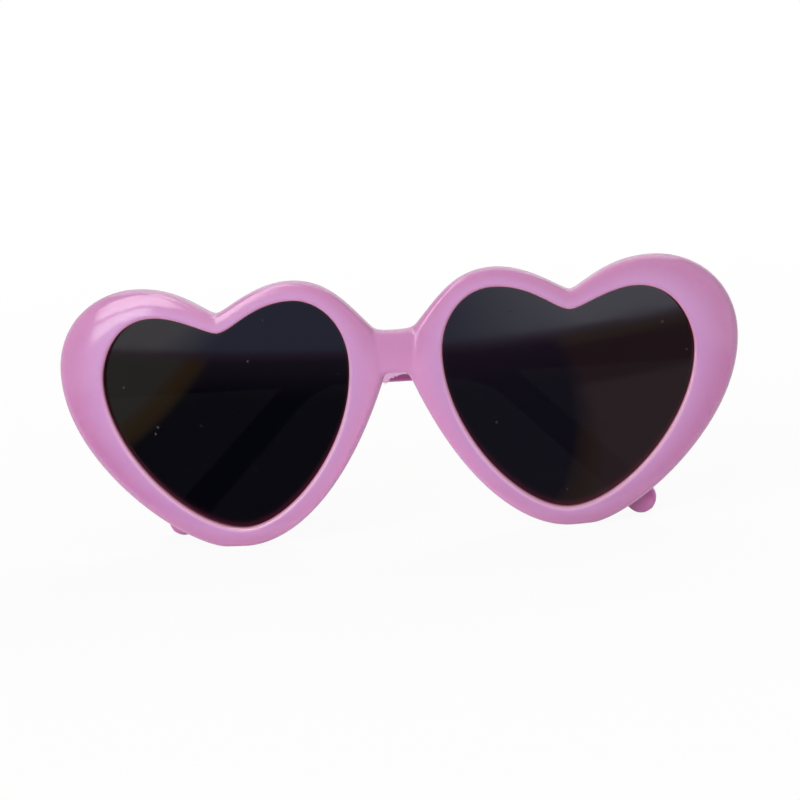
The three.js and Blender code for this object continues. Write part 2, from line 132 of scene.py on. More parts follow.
class Nodes:
    """A node tree with one method for any node, and short ways to the common ones."""

    def __init__(self, tree):
        self.tree = tree

    def plug(self, socket, value):
        """Sets a socket or links it. A node stands for its first output."""
        if isinstance(value, Sum):
            value = value.socket
        elif isinstance(value, bpy.types.Node):
            value = value.outputs[0]
        if isinstance(value, bpy.types.NodeSocket):
            self.tree.links.new(value, socket)
        else:
            socket.default_value = value

    def fill(self, node, sockets):
        """Sets or links these sockets of a node."""
        for name, value in sockets.items():
            self.plug(node.inputs[name], value)

    def add(self, kind, settings=None, sockets=None):
        node = self.tree.nodes.new(kind)
        for name, value in (settings or {}).items():
            setattr(node, name, value)
        self.fill(node, sockets or {})
        return node

    def math(self, operation, *values):
        node = self.add("ShaderNodeMath", {"operation": operation}, dict(enumerate(values)))
        return Sum(self, node.outputs[0])

    def number(self, node, output):
        return Sum(self, node.outputs[output])

    def vector(self, operation, *values):
        return self.add("ShaderNodeVectorMath", {"operation": operation}, dict(enumerate(values)))

    def length(self, vector):
        node = self.add("ShaderNodeVectorMath", {"operation": "LENGTH"}, {0: vector})
        return self.number(node, "Value")

    def parts(self, vector):
        """The x, y and z of a vector."""
        node = self.add("ShaderNodeSeparateXYZ", None, {0: vector})
        return [self.number(node, label) for label in "XYZ"]

    def attribute(self, name):
        """A number that a mesh keeps at each of its points."""
        return self.number(self.add("ShaderNodeAttribute", {"attribute_name": name}), "Fac")

    def blend(self, factor, first, second):
        """A colour between two colours. A Mix node has its colours after its numbers and vectors."""
        sockets = {"Factor": factor, MIX_FIRST: first, MIX_SECOND: second}
        return self.add("ShaderNodeMix", {"data_type": "RGBA"}, sockets).outputs[MIX_RESULT]

    def noise(self, place, scale, detail=2.0):
        node = self.add("ShaderNodeTexNoise", None, {"Vector": place, "Scale": scale, "Detail": detail})
        return self.number(node, "Fac")

    def placed(self, place, scale, turn=(0.0, 0.0, 0.0)):
        """The coordinates, turned and stretched."""
        return self.add("ShaderNodeMapping", None, {"Vector": place, "Scale": scale, "Rotation": turn})


print("helper ready:", Nodes.__name__)


# %% An empty finish
def new_finish(name):
    """A material with an empty shader, as (material, nodes, shader, object coordinates)."""
    material = bpy.data.materials.new(name)
    material.use_nodes = True
    nodes = Nodes(material.node_tree)
    shader = material.node_tree.nodes["Principled BSDF"]
    place = nodes.add("ShaderNodeTexCoord").outputs["Object"]
    return material, nodes, shader, place


print("helper ready:", new_finish.__name__)

# %% [markdown]
# ## Orchid plastic
#
# The front and the temples are injection moulded and left as they come out of a polished tool.
# Such a surface isn't one flat colour: the pigment is a little cloudy, the gloss is broken by a faint
# ripple, and handling leaves hairline scuffs. Noise on object coordinates gives all three at their
# real sizes: clouds of a centimetre, ripple of two millimetres, scuffs a fifth of one wide.
#
# The front also changes from place to place, and most of these changes are painted light. Towards the
# bridge, where the plastic entered the tool, it is more satin, and it is painted paler there as bounce
# light between the rims. Painted light through the thin edges makes them pale, a painted highlight
# runs along the lower lips, a painted sheen turns the slope towards the lens lilac, and the wall round
# the lens is painted salmon, as light through the plastic. These follow the shape, so the mesh carries
# them as attributes. The temples have deeper, redder tones: painted shade, the colour of light bounced
# between the pink pieces.

# %% Tones and marks of the plastic
ORCHID = (0.575, 0.230, 0.465, 1.0)
ORCHID_DEEP = (0.548, 0.208, 0.435, 1.0)
# Temples: painted shade, deeper and redder, the colour of light bounced between the pink pieces
TEMPLE_SHADED_ORCHID = (0.630, 0.205, 0.495, 1.0)
TEMPLE_SHADED_DEEP = (0.600, 0.185, 0.465, 1.0)
ORCHID_BOUNCE_LIGHT = (0.665, 0.295, 0.555, 1.0)
ORCHID_GRAIN_AND_EDGE_LIGHT = (0.760, 0.460, 0.660, 1.0)
ORCHID_PAINTED_SHEEN = (0.600, 0.298, 0.580, 1.0)
SALMON_WALL_LIGHT = (0.740, 0.320, 0.390, 1.0)
EDGE_ATTRIBUTE = "thin_edge_light"
SHEEN_ATTRIBUTE = "painted_sheen_way_in"
WALL_LIGHT_ATTRIBUTE = "lens_wall_light"
GATE_ATTRIBUTE = "front_moulded"
LOOK_ATTRIBUTES = (EDGE_ATTRIBUTE, SHEEN_ATTRIBUTE, WALL_LIGHT_ATTRIBUTE)

# Metres from the middle, and above the standing surface, where painted bounce light and satin start to fade
# and end
BOUNCE_LIGHT_START = 0.009
BOUNCE_LIGHT_END = 0.021
BOUNCE_LIGHT_LOW = 0.020
BOUNCE_LIGHT_HIGH = 0.026
SATIN_START = 0.010
SATIN_END = 0.026

CLOUD_SCALE = 85.0
GRAIN_SCALE = 1400.0
RIPPLE_SCALE = 420.0
SCUFF_STRETCH = (260.0, 900.0, 5200.0)
SCUFF_TURN = (0.3, 0.5, 0.9)
SCUFF_PATCH_SCALE = 130.0

# The level from which a pattern shows, and how fast it then gains strength
CLOUD_OVER = (0.35, 2.2)
SCUFF_OVER = (0.64, 9.0)
SCUFF_PATCH_OVER = (0.52, 6.0)
PAINTED_SHEEN_OVER = (0.30, 1.8)
print("plastic carries", len(LOOK_ATTRIBUTES) + 1, "attributes")

# %% Orchid plastic
PALE_GRAIN = 0.08
EDGE_LIGHT_MIX = 0.8
PLASTIC_POLISH = 0.065
CLOUD_ROUGHNESS = 0.05
GRAIN_ROUGHNESS = 0.03
SCUFF_ROUGHNESS = 0.10
SATIN_ROUGHNESS = 0.11
GRAIN_HEIGHT = 0.08
SCUFF_HEIGHT = 0.04
LIGHT_UNDER_SKIN = {
    "Subsurface Weight": 0.4, "Subsurface Radius": (1.0, 0.25, 0.4), "Subsurface Scale": 0.0006,
}


def fading(place, start, end):
    """1 up to the start, 0 from the end on, and a gentle change between them."""
    return ((end - place) / (end - start)).eased()


def orchid_plastic(name, tone, deep):
    material, nodes, shader, place = new_finish(name)
    clouds = nodes.noise(place, CLOUD_SCALE, detail=3.0)
    grain = nodes.noise(place, GRAIN_SCALE)
    ripple = nodes.noise(place, RIPPLE_SCALE, detail=1.0)
    scuff_lines = nodes.noise(nodes.placed(place, SCUFF_STRETCH, SCUFF_TURN), 1.0, detail=1.0)
    scuff_patch = nodes.noise(place, SCUFF_PATCH_SCALE)
    scuffs = scuff_lines.over(*SCUFF_OVER) * scuff_patch.over(*SCUFF_PATCH_OVER)
    edge, sheen_share, painted_wall_light = [nodes.attribute(label) for label in LOOK_ATTRIBUTES]
    moulded = nodes.attribute(GATE_ATTRIBUTE)
    x, _, z = nodes.parts(place)
    from_gate = x.size()
    # Painted bounce light: paler towards the bridge, fading away from the middle and towards the bridge's
    # top
    painted_bounce_light = moulded * fading(from_gate, BOUNCE_LIGHT_START, BOUNCE_LIGHT_END) * fading(z, BOUNCE_LIGHT_LOW, BOUNCE_LIGHT_HIGH)
    satin = moulded * fading(from_gate, SATIN_START, SATIN_END)

    tint = deep
    for share, colour in (
        (clouds.over(*CLOUD_OVER), tone),
        (painted_bounce_light, ORCHID_BOUNCE_LIGHT),
        # Painted sheen: lilac on the slope towards the lens, where a sheen of light would lie
        (sheen_share.over(*PAINTED_SHEEN_OVER), ORCHID_PAINTED_SHEEN),
        # Painted edge light and highlight line, with a little pale grain that is the plastic's own
        ((grain * PALE_GRAIN + edge * EDGE_LIGHT_MIX).held(), ORCHID_GRAIN_AND_EDGE_LIGHT),
        # Painted light through the plastic: the wall round the lens and the lip beside it are salmon
        (painted_wall_light, SALMON_WALL_LIGHT),
    ):
        tint = nodes.blend(share, tint, colour)
    polish = PLASTIC_POLISH + clouds * CLOUD_ROUGHNESS + grain * GRAIN_ROUGHNESS + scuffs * SCUFF_ROUGHNESS
    bump = nodes.add("ShaderNodeBump", None, {
        "Strength": 0.05, "Distance": 0.0004,
        "Height": ripple + grain * GRAIN_HEIGHT - scuffs * SCUFF_HEIGHT,
    })
    nodes.fill(shader, {
        "Base Color": tint, "Roughness": (polish + satin * SATIN_ROUGHNESS).held(), "IOR": 1.5,
        **LIGHT_UNDER_SKIN, "Normal": bump,
    })
    return material


orchid = orchid_plastic("orchid_plastic", ORCHID, ORCHID_DEEP)
# The temples' tones are painted shade: light bounced between the pink pieces
temple_shaded_orchid = orchid_plastic("temple_plastic", TEMPLE_SHADED_ORCHID, TEMPLE_SHADED_DEEP)
print("finish:", orchid.name, len(orchid.node_tree.nodes), "nodes")

# %% [markdown]
# ## Smoked lens
#
# The lenses are thin polished plastic, dyed almost black. They pass about a five-hundredth of the
# light, so the folded temples are only just seen behind them. Real absorption would need a volume,
# which other programs don't read, so the two faces share the work: each covers most of what is
# behind it by its alpha. Faint smears and a few specks of dust keep the polish from looking new.
# Along its edge the lens has a painted reflection of the pink rim in dark red, widest at the bottom.
# It follows the outline, so the mesh carries it as an attribute.

# %% Smoked lens
SMOKE = (0.0005, 0.0005, 0.0009, 1.0)
SMEAR = (0.0020, 0.0019, 0.0026, 1.0)
LENS_DUST = (0.009, 0.008, 0.008, 1.0)
LENS_PAINTED_RIM_RED = (0.050, 0.006, 0.018, 1.0)
RIM_REFLECTION_ATTRIBUTE = "painted_rim_reflection"
SMEAR_STRETCH = (60.0, 60.0, 150.0)
SMEAR_TURN = (0.0, 0.5, 0.0)
SMEAR_OVER = (0.5, 2.5)
SMEAR_SHARE = 0.35
SPECK_SCALE = 330.0
SPECK_SIZE = 0.075
SPECK_GAIN = 25.0
SPECK_OVER = (0.6, 60.0)
LENS_POLISH = 0.035
SMEAR_ROUGHNESS = 0.045
SPECK_ROUGHNESS = 0.4
LENS_COVER = 0.955


def smoked_lens():
    material, nodes, shader, place = new_finish("smoked_lens")
    smears = nodes.noise(nodes.placed(place, SMEAR_STRETCH, SMEAR_TURN), 1.0, detail=3.0)
    film = smears.over(*SMEAR_OVER)
    cells = nodes.add("ShaderNodeTexVoronoi", None, {"Vector": place, "Scale": SPECK_SCALE})
    chance = nodes.add("ShaderNodeSeparateColor", None, {"Color": cells.outputs["Color"]})
    near = ((SPECK_SIZE - nodes.number(cells, "Distance")) * SPECK_GAIN).held()
    specks = near * nodes.number(chance, "Red").over(*SPECK_OVER)
    tint = nodes.blend(film * SMEAR_SHARE, SMOKE, SMEAR)
    tint = nodes.blend(specks, tint, LENS_DUST)
    # Painted reflection of the pink rim along the lens's edge
    tint = nodes.blend(nodes.attribute(RIM_REFLECTION_ATTRIBUTE), tint, LENS_PAINTED_RIM_RED)
    nodes.fill(shader, {
        "Base Color": tint, "IOR": 1.49, "Alpha": LENS_COVER,
        "Roughness": (LENS_POLISH + film * SMEAR_ROUGHNESS + specks * SPECK_ROUGHNESS).held(),
    })
    return material


smoke = smoked_lens()
print("finish:", smoke.name, len(smoke.node_tree.nodes), "nodes")

# %% [markdown]
# ## Nickel-plated hinge metal
#
# The hinge leaves are stamped and rolled from thin strip and then plated, so they have a satin sheen
# with fine lines along the strip, and the plating is a little duller in patches. An even grey metal
# would do from far away. Two noises, one of them stretched along the strip, show the making close up.

# %% Hinge metal
NICKEL = (0.62, 0.60, 0.56, 1.0)
NICKEL_DULL = (0.40, 0.375, 0.335, 1.0)
STRIP_STRETCH = (9000.0, 9000.0, 700.0)
DULL_SCALE = 900.0
DULL_OVER = (0.45, 2.4)
DULL_SHARE = 0.6
NICKEL_POLISH = 0.20
LINE_ROUGHNESS = 0.16
DULL_ROUGHNESS = 0.12


def nickel_plate():
    material, nodes, shader, place = new_finish("nickel_plate")
    lines = nodes.noise(nodes.placed(place, STRIP_STRETCH), 1.0)
    dull = nodes.noise(place, DULL_SCALE, detail=3.0).over(*DULL_OVER)
    bump = nodes.add("ShaderNodeBump", None, {"Strength": 0.15, "Distance": 0.00003, "Height": lines})
    nodes.fill(shader, {
        "Base Color": nodes.blend(dull * DULL_SHARE, NICKEL, NICKEL_DULL), "Metallic": 1.0,
        "Roughness": (NICKEL_POLISH + lines * LINE_ROUGHNESS + dull * DULL_ROUGHNESS).held(),
        "Normal": bump,
    })
    return material


nickel = nickel_plate()
print("finish:", nickel.name, len(nickel.node_tree.nodes), "nodes")

# %% [markdown]
# ## Outlines of the front
#
# Both edges of a heart-shaped rim are smooth curves with few turns, so each is written as a handful
# of anchors: a place, a direction, and how far the curve runs straight on either side. Cubic curves
# between them give as many points as a mesh needs. Sizes are in millimetres, for the right-hand
# heart, with x from the middle of the bridge and z from the surface that the glasses stand on.

# %% Sizes of the front
MM = 0.001
FACE_RADIUS = 150.0
RIM_DEPTH = 3.0
OUTER_CROWN = 0.6
CREST_SHARE = 0.92
FULL_CROWN_WIDTH = 4.2
OUTER_EDGE_RADIUS = 0.9
INNER_EDGE_RADIUS = 0.4
BACK_EDGE_RADIUS = 0.35
LENS_GAP = 11.6
OPENING_WIDTH = 31.2
OPENING_HEIGHT = 28.1
RIM_BELOW = 2.4
RIM_OUTSIDE = 5.65
RIM_OUTER_LOBE = 3.55
RIM_CLEFT = 2.35
RIM_INNER_LOBE = 2.3
FOOT_LENGTH = 2.2
BRIDGE_TOP = 25.9
BRIDGE_HEIGHT = 5.4
BRIDGE_RECESS = 0.5
BRIDGE_HALF = 2.8
NOSE_FLAT = 1.8
LENS_THICKNESS = 1.2
LENS_SET_BACK = 0.95
LENS_LAP = 0.55
LENS_PLAY = 0.15

NEAR_X = LENS_GAP / 2
FAR_X = NEAR_X + OPENING_WIDTH
BRIDGE_BOTTOM = BRIDGE_TOP - BRIDGE_HEIGHT
LEFTWARD, DOWNWARD, RIGHTWARD, UPWARD = math.pi, -math.pi / 2, 0.0, math.pi / 2


def across(share):
    return NEAR_X + share * OPENING_WIDTH


def above(share):
    return RIM_BELOW + share * OPENING_HEIGHT


def wide(share):
    return share * OPENING_WIDTH


def tall(share):
    return share * OPENING_HEIGHT


print("each opening is", OPENING_WIDTH, "by", OPENING_HEIGHT, "mm")

# %% Anchors of both outlines
CLEFT = (across(0.519), above(0.874))
INNER_LOBE = (across(0.212), above(1.0))
OUTER_LOBE = (across(0.776), above(0.954))
POINT_X = across(0.468)
FAR_Z = above(0.673)
HEART_CENTRE = np.array((across(0.487), above(0.53)))
FOOT_X = POINT_X + 0.2
RIM_RUN = 1.2

# Each anchor is x, z, direction, straight run before it and straight run after it
opening_anchors = [
    (*CLEFT, LEFTWARD, wide(0.04), wide(0.061)),
    (*INNER_LOBE, LEFTWARD, wide(0.163), wide(0.107)),
    (NEAR_X, above(0.71), DOWNWARD, tall(0.179), tall(0.36)),
    (POINT_X, above(0.0), RIGHTWARD, wide(0.183), wide(0.215)),
    (FAR_X, FAR_Z, UPWARD, tall(0.317), tall(0.093)),
    (*OUTER_LOBE, LEFTWARD, wide(0.168), wide(0.102)),
]
bridge_corner = (BRIDGE_HALF, BRIDGE_TOP + 0.22 * BRIDGE_HALF)
nose_corner = (0.68 * BRIDGE_HALF, BRIDGE_BOTTOM - 0.2 * BRIDGE_HEIGHT)
BRIDGE_TURN = 1.26 * math.pi
NOSE_TURN = -0.377 * math.pi
lobe_anchors = [
    (CLEFT[0], CLEFT[1] + RIM_CLEFT, LEFTWARD, wide(0.04), wide(0.03)),
    (
        INNER_LOBE[0] + 0.1 * RIM_INNER_LOBE, INNER_LOBE[1] + RIM_INNER_LOBE,
        LEFTWARD, wide(0.144), wide(0.157),
    ),
]
bridge_anchors = [
    (*bridge_corner, BRIDGE_TURN, wide(0.128), 0.25 * BRIDGE_HALF),
    (0.0, BRIDGE_TOP, LEFTWARD, 0.6 * BRIDGE_HALF, 0.0),
    (0.0, BRIDGE_BOTTOM, RIGHTWARD, 0.0, 0.0),
    (NOSE_FLAT / 2, BRIDGE_BOTTOM, RIGHTWARD, 0.0, 0.3 * NOSE_FLAT),
    (*nose_corner, NOSE_TURN, 0.35 * NOSE_FLAT, tall(0.55)),
]
rim_anchors = [
    (*bridge_corner, BRIDGE_TURN, wide(0.128), RIM_RUN),
    (*nose_corner, NOSE_TURN, RIM_RUN, tall(0.55)),
]
outside_anchors = [
    (FOOT_X, 0.0, RIGHTWARD, wide(0.175), 0.0),
    (FOOT_X + FOOT_LENGTH, 0.0, RIGHTWARD, 0.0, wide(0.15)),
    (FAR_X + RIM_OUTSIDE, FAR_Z + 0.2 * RIM_OUTSIDE, UPWARD, tall(0.435), tall(0.217)),
    (
        OUTER_LOBE[0] + 0.55 * RIM_OUTER_LOBE, OUTER_LOBE[1] + RIM_OUTER_LOBE,
        LEFTWARD, wide(0.189), wide(0.186),
    ),
]
MIDDLE_ANCHOR = len(lobe_anchors) + 1
print("opening has", len(opening_anchors), "anchors")

# %% Points along the outlines
LEAST_STEPS = 3
BEND_ALLOWANCE = 1.1
OUTLINE_SPACING = 0.28
MEASURE_SPACING = 0.3


def curve_points(anchors, spacing):
    """Points round a closed outline, and for each the number of the anchor that it follows."""
    stretches, owners = [], []
    for i, (x, z, turn, _, after) in enumerate(anchors):
        end_x, end_z, end_turn, before, _ = anchors[(i + 1) % len(anchors)]
        start = np.array((x, z))
        end = np.array((end_x, end_z))
        leave = start + after * np.array((math.cos(turn), math.sin(turn)))
        arrive = end - before * np.array((math.cos(end_turn), math.sin(end_turn)))
        length = float(np.linalg.norm(end - start))
        steps = max(LEAST_STEPS, round(BEND_ALLOWANCE * length / spacing))
        t = (np.arange(steps) / steps)[:, None]
        stretches.append(
            start * (1 - t) ** 3 + 3 * leave * t * (1 - t) ** 2 + 3 * arrive * t * t * (1 - t) + end * t ** 3
        )
        owners += [i] * steps
    return np.vstack(stretches), np.array(owners)


opening, _ = curve_points(opening_anchors, MEASURE_SPACING)
outline, outline_owner = curve_points(lobe_anchors + bridge_anchors + outside_anchors, OUTLINE_SPACING)
on_middle = outline_owner == MIDDLE_ANCHOR
rim_outline, _ = curve_points(lobe_anchors + rim_anchors + outside_anchors, MEASURE_SPACING)
print("opening", len(opening), "points, outline", len(outline), "points")

# %% Measuring against an outline
PLACES_AT_ONCE = 2000


def cross(a, b):
    return a[..., 0] * b[..., 1] - a[..., 1] * b[..., 0]


def reach(loop, directions):
    """How far a ray from the heart's centre goes before it meets the outline."""
    a = loop - HEART_CENTRE
    b = np.roll(a, -1, axis=0)
    side_a = cross(directions[:, None], a[None])
    side_b = cross(directions[:, None], b[None])
    meets = (side_a * side_b <= 0) & (side_a != side_b)
    share = np.where(meets, side_a / np.where(meets, side_a - side_b, 1.0), 0.0)
    hit = a[None] + share[..., None] * (b - a)[None]
    along = (hit * directions[:, None]).sum(-1)
    return np.where(meets, along, 0.0).max(axis=1)


def distance(places, loop, used=None):
    """Nearest distance from each place to the outline, or to the used stretches of it."""
    start = loop
    run = np.roll(loop, -1, axis=0) - loop
    if used is not None:
        start, run = start[used], run[used]
    length2 = (run ** 2).sum(-1)
    best = np.empty(len(places))
    for part in np.array_split(np.arange(len(places)), 1 + len(places) // PLACES_AT_ONCE):
        offset = places[part][:, None] - start
        share = np.clip((offset * run).sum(-1) / length2, 0.0, 1.0)
        best[part] = np.linalg.norm(offset - share[..., None] * run, axis=-1).min(axis=1)
    return best


def sag(x):
    return x * x / (2 * FACE_RADIUS)


def rounding(gap, radius):
    """How far a rounded edge falls away at a distance from it."""
    inside = np.clip(radius - gap, 0.0, radius)
    return radius - np.sqrt(np.maximum(radius ** 2 - inside ** 2, 0.0))


print("face falls back by", round(sag(FAR_X), 2), "mm at the far side of an opening")

# %% [markdown]
# The face of a rim is worked out along lines from the lens opening to the outer edge, like the spokes
# of a wheel. Each point of the outline is joined to a point of the opening, towards the heart's
# centre. Near the nose arch the lines are aimed higher, so that none of them cuts across the arch.

# %% Lines across the rim
AIM_LIFT = 1.95
AIM_REACH = 3.4
AIM_POWER = 1.5
near_middle = np.clip(1 - outline[:, 0] / AIM_REACH, 0.0, 1.0) ** AIM_POWER
under_bridge = np.clip((BRIDGE_TOP - outline[:, 1]) / BRIDGE_HEIGHT, 0.0, 1.0)
aimed = outline + np.column_stack((np.zeros(len(outline)), AIM_LIFT * near_middle * under_bridge))
ring_ray = (aimed - HEART_CENTRE) / np.linalg.norm(aimed - HEART_CENTRE, axis=1)[:, None]
ring_inner = reach(opening, ring_ray)
lens_edge = HEART_CENTRE + ring_inner[:, None] * ring_ray
rim_run = outline - lens_edge
rim_width = np.linalg.norm(rim_run, axis=1)
rim_way = rim_run / rim_width[:, None]
ring_turns = np.unwrap(np.arctan2(ring_ray[:, 1], ring_ray[:, 0]))
print("rim is", round(float(rim_width.min()), 2), "mm wide at its narrowest")
print("lines that turn back:", int((np.diff(ring_turns) <= 0).sum()))

# %% [markdown]
# ## Front
#
# The front is one moulding: two crowned rims and a bridge that lies a little behind their crests.
# A sculpted or subdivided cage could give it, but the face is really a height above the outline, so
# it is made as one: rows of points run from the outer edge over the face to the lens opening, round
# the lens groove, across the back and up the outer wall. At each point the depth is worked out from
# the distances to the edges. Rim and bridge are two such surfaces, and where they cross they melt
# into each other over a third of a millimetre, as a tool maker would blend them.

# %% Shape of the face
BRIDGE_CROWN = 0.12
BRIDGE_END = 1.15 * BRIDGE_HALF
MELT = 0.34
RIM_FLANK = 3.0
LEAST_BREADTH = 0.4
WALL_LIGHT_WIDTH = 0.3
WALL_LIGHT_SHARE = 0.8
HIGHLIGHT_LINE_AT = 0.38
HIGHLIGHT_LINE_WIDTH = 0.15
HIGHLIGHT_LINE_START = 0.35
HIGHLIGHT_LINE_RUN = 8.0
EDGE_LIGHT_SHARE = 0.35
EDGE_LIGHT_WIDTH = 0.35
EDGE_LIGHT_FROM_X = 8.0
EDGE_LIGHT_RUN = 10.0
EDGE_LIGHT_LEAST = 0.2
TINY = 1e-9
EVEN_SHARE = 0.3


def face_depth(places):
    """For each place: depth behind the crests, painted edge light, share of the way in that the
    painted sheen follows, and painted wall light.
    """
    from_centre = places - HEART_CENTRE
    radius = np.linalg.norm(from_centre, axis=1)
    outside_rim = radius > reach(rim_outline, from_centre / radius[:, None]) + TINY
    to_edge = distance(places, outline, ~on_middle)
    to_rim = distance(places, rim_outline)
    to_lens = distance(places, opening)
    beyond = np.where(outside_rim, to_rim, 0.0)
    to_rim = np.where(outside_rim, 0.0, to_rim)
    share = to_rim / (to_rim + to_lens)
    breadth = np.clip((to_rim + to_lens) / FULL_CROWN_WIDTH, LEAST_BREADTH, 1.0)
    crown = OUTER_CROWN * breadth * np.clip(1 - share / CREST_SHARE, 0.0, 1.0) ** 2
    outer_fall = rounding(to_rim, OUTER_EDGE_RADIUS * breadth)
    rim = crown + outer_fall + rounding(to_lens, INNER_EDGE_RADIUS) + RIM_FLANK * beyond
    middle = (BRIDGE_TOP + BRIDGE_BOTTOM) / 2
    bridge = (
        BRIDGE_RECESS + BRIDGE_CROWN * ((places[:, 1] - middle) / (BRIDGE_HEIGHT / 2)) ** 2
        + rounding(to_edge, OUTER_EDGE_RADIUS) + np.maximum(0.0, places[:, 0] - BRIDGE_END)
    )
    blend = np.clip(0.5 + 0.5 * (bridge - rim) / MELT, 0.0, 1.0)
    depth = bridge + (rim - bridge) * blend - MELT * blend * (1 - blend)
    # Painted light: a highlight line along the lower lips, and pale edges as if light shone through them,
    # stronger away from the middle
    low_down = np.clip((HEART_CENTRE[1] - places[:, 1]) / HIGHLIGHT_LINE_RUN + HIGHLIGHT_LINE_START, 0.0, 1.0)
    painted_highlight_line = low_down * np.exp(-((to_lens - HIGHLIGHT_LINE_AT) / HIGHLIGHT_LINE_WIDTH) ** 2)
    off_middle = np.clip((places[:, 0] - EDGE_LIGHT_FROM_X) / EDGE_LIGHT_RUN, EDGE_LIGHT_LEAST, 1.0)
    edge_light = np.clip(EDGE_LIGHT_SHARE * off_middle * np.exp(-to_edge / EDGE_LIGHT_WIDTH) + painted_highlight_line, 0.0, 1.0)
    # Painted salmon wall light on the lip beside the lens opening
    lip = WALL_LIGHT_SHARE * np.clip(1 - to_lens / WALL_LIGHT_WIDTH, 0.0, 1.0)
    return depth, edge_light, share, lip


def eased_shares(count):
    """Shares from 0 to 1, closer together at both ends."""
    t = np.linspace(0.0, 1.0, count)
    return EVEN_SHARE * t + (1 - EVEN_SHARE) * (0.5 - 0.5 * np.cos(math.pi * t))


print("face at the heart's cleft is", round(float(face_depth(opening[:1])[0][0]), 2), "mm deep at the lip")

# %% Rows of the front
FACE_ROWS = 34
BACK_ROWS = 14
LENS_SEAT = 0.01
WALL_SHARES = (0.15, 0.4, 0.7, 1.0)
OUTER_WALL_LIGHT = 0.6
GROOVE_EDGE_RADIUS = 0.12
PARTING_DEPTH = 2.1
PARTING_STEP = 0.035
PARTING_GAPS = ((0.30, PARTING_STEP), (0.10, PARTING_STEP), (0.05, 0.0))
ROW_GAP = 0.02
groove_front = LENS_SET_BACK - LENS_SEAT
groove_back = LENS_SET_BACK + LENS_THICKNESS + LENS_PLAY
rows = []


def add_row(places, depth, edge_light=0.0, sheen_share=0.0, painted_wall_light=0.0):
    """A row of points at these places, one on every line, and this depth behind the crests."""
    y = sag(places[:, 0]) + depth
    looks = [np.broadcast_to(value, y.shape) for value in (edge_light, sheen_share, painted_wall_light)]
    rows.append(np.column_stack((places[:, 0], y, places[:, 1], *looks)))


def row_depth(row):
    """How far behind the crests the points of a row lie."""
    return row[:, 1] - sag(row[:, 0])


for share in 1.0 - eased_shares(FACE_ROWS):
    places = lens_edge + share * rim_run
    add_row(places, *face_depth(places))
lip = row_depth(rows[-1])
for share in WALL_SHARES:
    # The wall round the lens is fully painted with salmon wall light
    add_row(lens_edge, lip + share * (groove_front - lip), painted_wall_light=1.0)
groove_floor = lens_edge + (LENS_LAP + LENS_PLAY) * rim_way
add_row(groove_floor, groove_front)
add_row(groove_floor, groove_back)
add_row(lens_edge, groove_back)
for share in eased_shares(BACK_ROWS):
    places = lens_edge + share * rim_run
    broken = rounding(distance(places, outline, ~on_middle), BACK_EDGE_RADIUS)
    add_row(places, RIM_DEPTH - broken - rounding(distance(places, opening), GROOVE_EDGE_RADIUS))
back_rim = row_depth(rows[-1])
face_rim = row_depth(rows[0])
wall_start = len(rows) - 1
# Points on the middle only sink up or down, so that the two halves meet there
sunk_way = np.where(outline[:, :1] > 0.0, rim_way, rim_way * (0.0, 1.0))
parting_rows = [(PARTING_DEPTH + gap, sunk) for gap, sunk in PARTING_GAPS]
parting_rows += [(PARTING_DEPTH - gap, sunk) for gap, sunk in reversed(PARTING_GAPS)]
for depth, sunk in parting_rows:
    kept_depth = np.clip(depth, face_rim + ROW_GAP, back_rim - ROW_GAP)
    # The outer wall is painted with edge light too
    add_row(outline - sunk * sunk_way, kept_depth, edge_light=OUTER_WALL_LIGHT)
print("front:", len(rows), "rows of", len(outline), "points in each half")

# %% Pieces and their meshes
SHARP_ANGLE = 35.0


def new_piece(name, mesh, material, body, slot, replaced=()):
    """A piece of the glasses: a mesh in its place, its finish, and the body that it moves with."""
    piece = bpy.data.objects.new(name, mesh)
    bpy.context.scene.collection.objects.link(piece)
    mesh.materials.clear()
    mesh.materials.append(material)
    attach(piece, body)
    if replaced:
        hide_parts(*replaced)
    print("piece:", name, len(mesh.polygons), "faces on", body)


def mesh_from(bm, name, sharp=SHARP_ANGLE):
    """A smooth mesh with crisp edges where its faces turn by more than the sharp angle."""
    bmesh.ops.recalc_face_normals(bm, faces=bm.faces)
    mesh = bpy.data.meshes.new(name)
    bm.to_mesh(mesh)
    bm.free()
    mesh.polygons.foreach_set("use_smooth", [True] * len(mesh.polygons))
    mesh.set_sharp_from_angle(angle=math.radians(sharp))
    return mesh


def join_rows(bm, upper, lower, columns):
    """Adds a face between two rows of points from each of these columns to the next one round."""
    for j in columns:
        n = (j + 1) % len(upper)
        bm.faces.new((upper[j], upper[n], lower[n], lower[j]))


print("helpers ready:", new_piece.__name__, mesh_from.__name__, join_rows.__name__)

# %% [markdown]
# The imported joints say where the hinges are. Their places could be typed in again, but then the two
# could drift apart. The end pieces and the temples are built from there, and the same sizes tell how
# far the front lies from the middle of the folded pair's depth.

# %% Where the hinges are
hinge_place = {joint["child"]: Vector(joint["pos_m"]) for joint in frame["joints"]}
TEMPLE_THICKNESS = 2.2
TEMPLE_INSET = 0.75
BARREL_GAP = 0.2
BARREL_RADIUS = 0.95
SEAT_RISE = 0.3
OUTER_X = FAR_X + RIM_OUTSIDE - TEMPLE_INSET
INNER_X = OUTER_X - TEMPLE_THICKNESS
AXIS_X = INNER_X - BARREL_GAP - BARREL_RADIUS
SEAT_Y = sag(INNER_X) + RIM_DEPTH + SEAT_RISE
AXIS_Y = SEAT_Y + BARREL_GAP + BARREL_RADIUS
BACK_SHIFT = hinge_place["right_arm"].y / MM - AXIS_Y
print("face lies", round(BACK_SHIFT, 3), "mm from the middle of the depth")

# %% Half a front, then its mirror image
SEAM = 2e-6


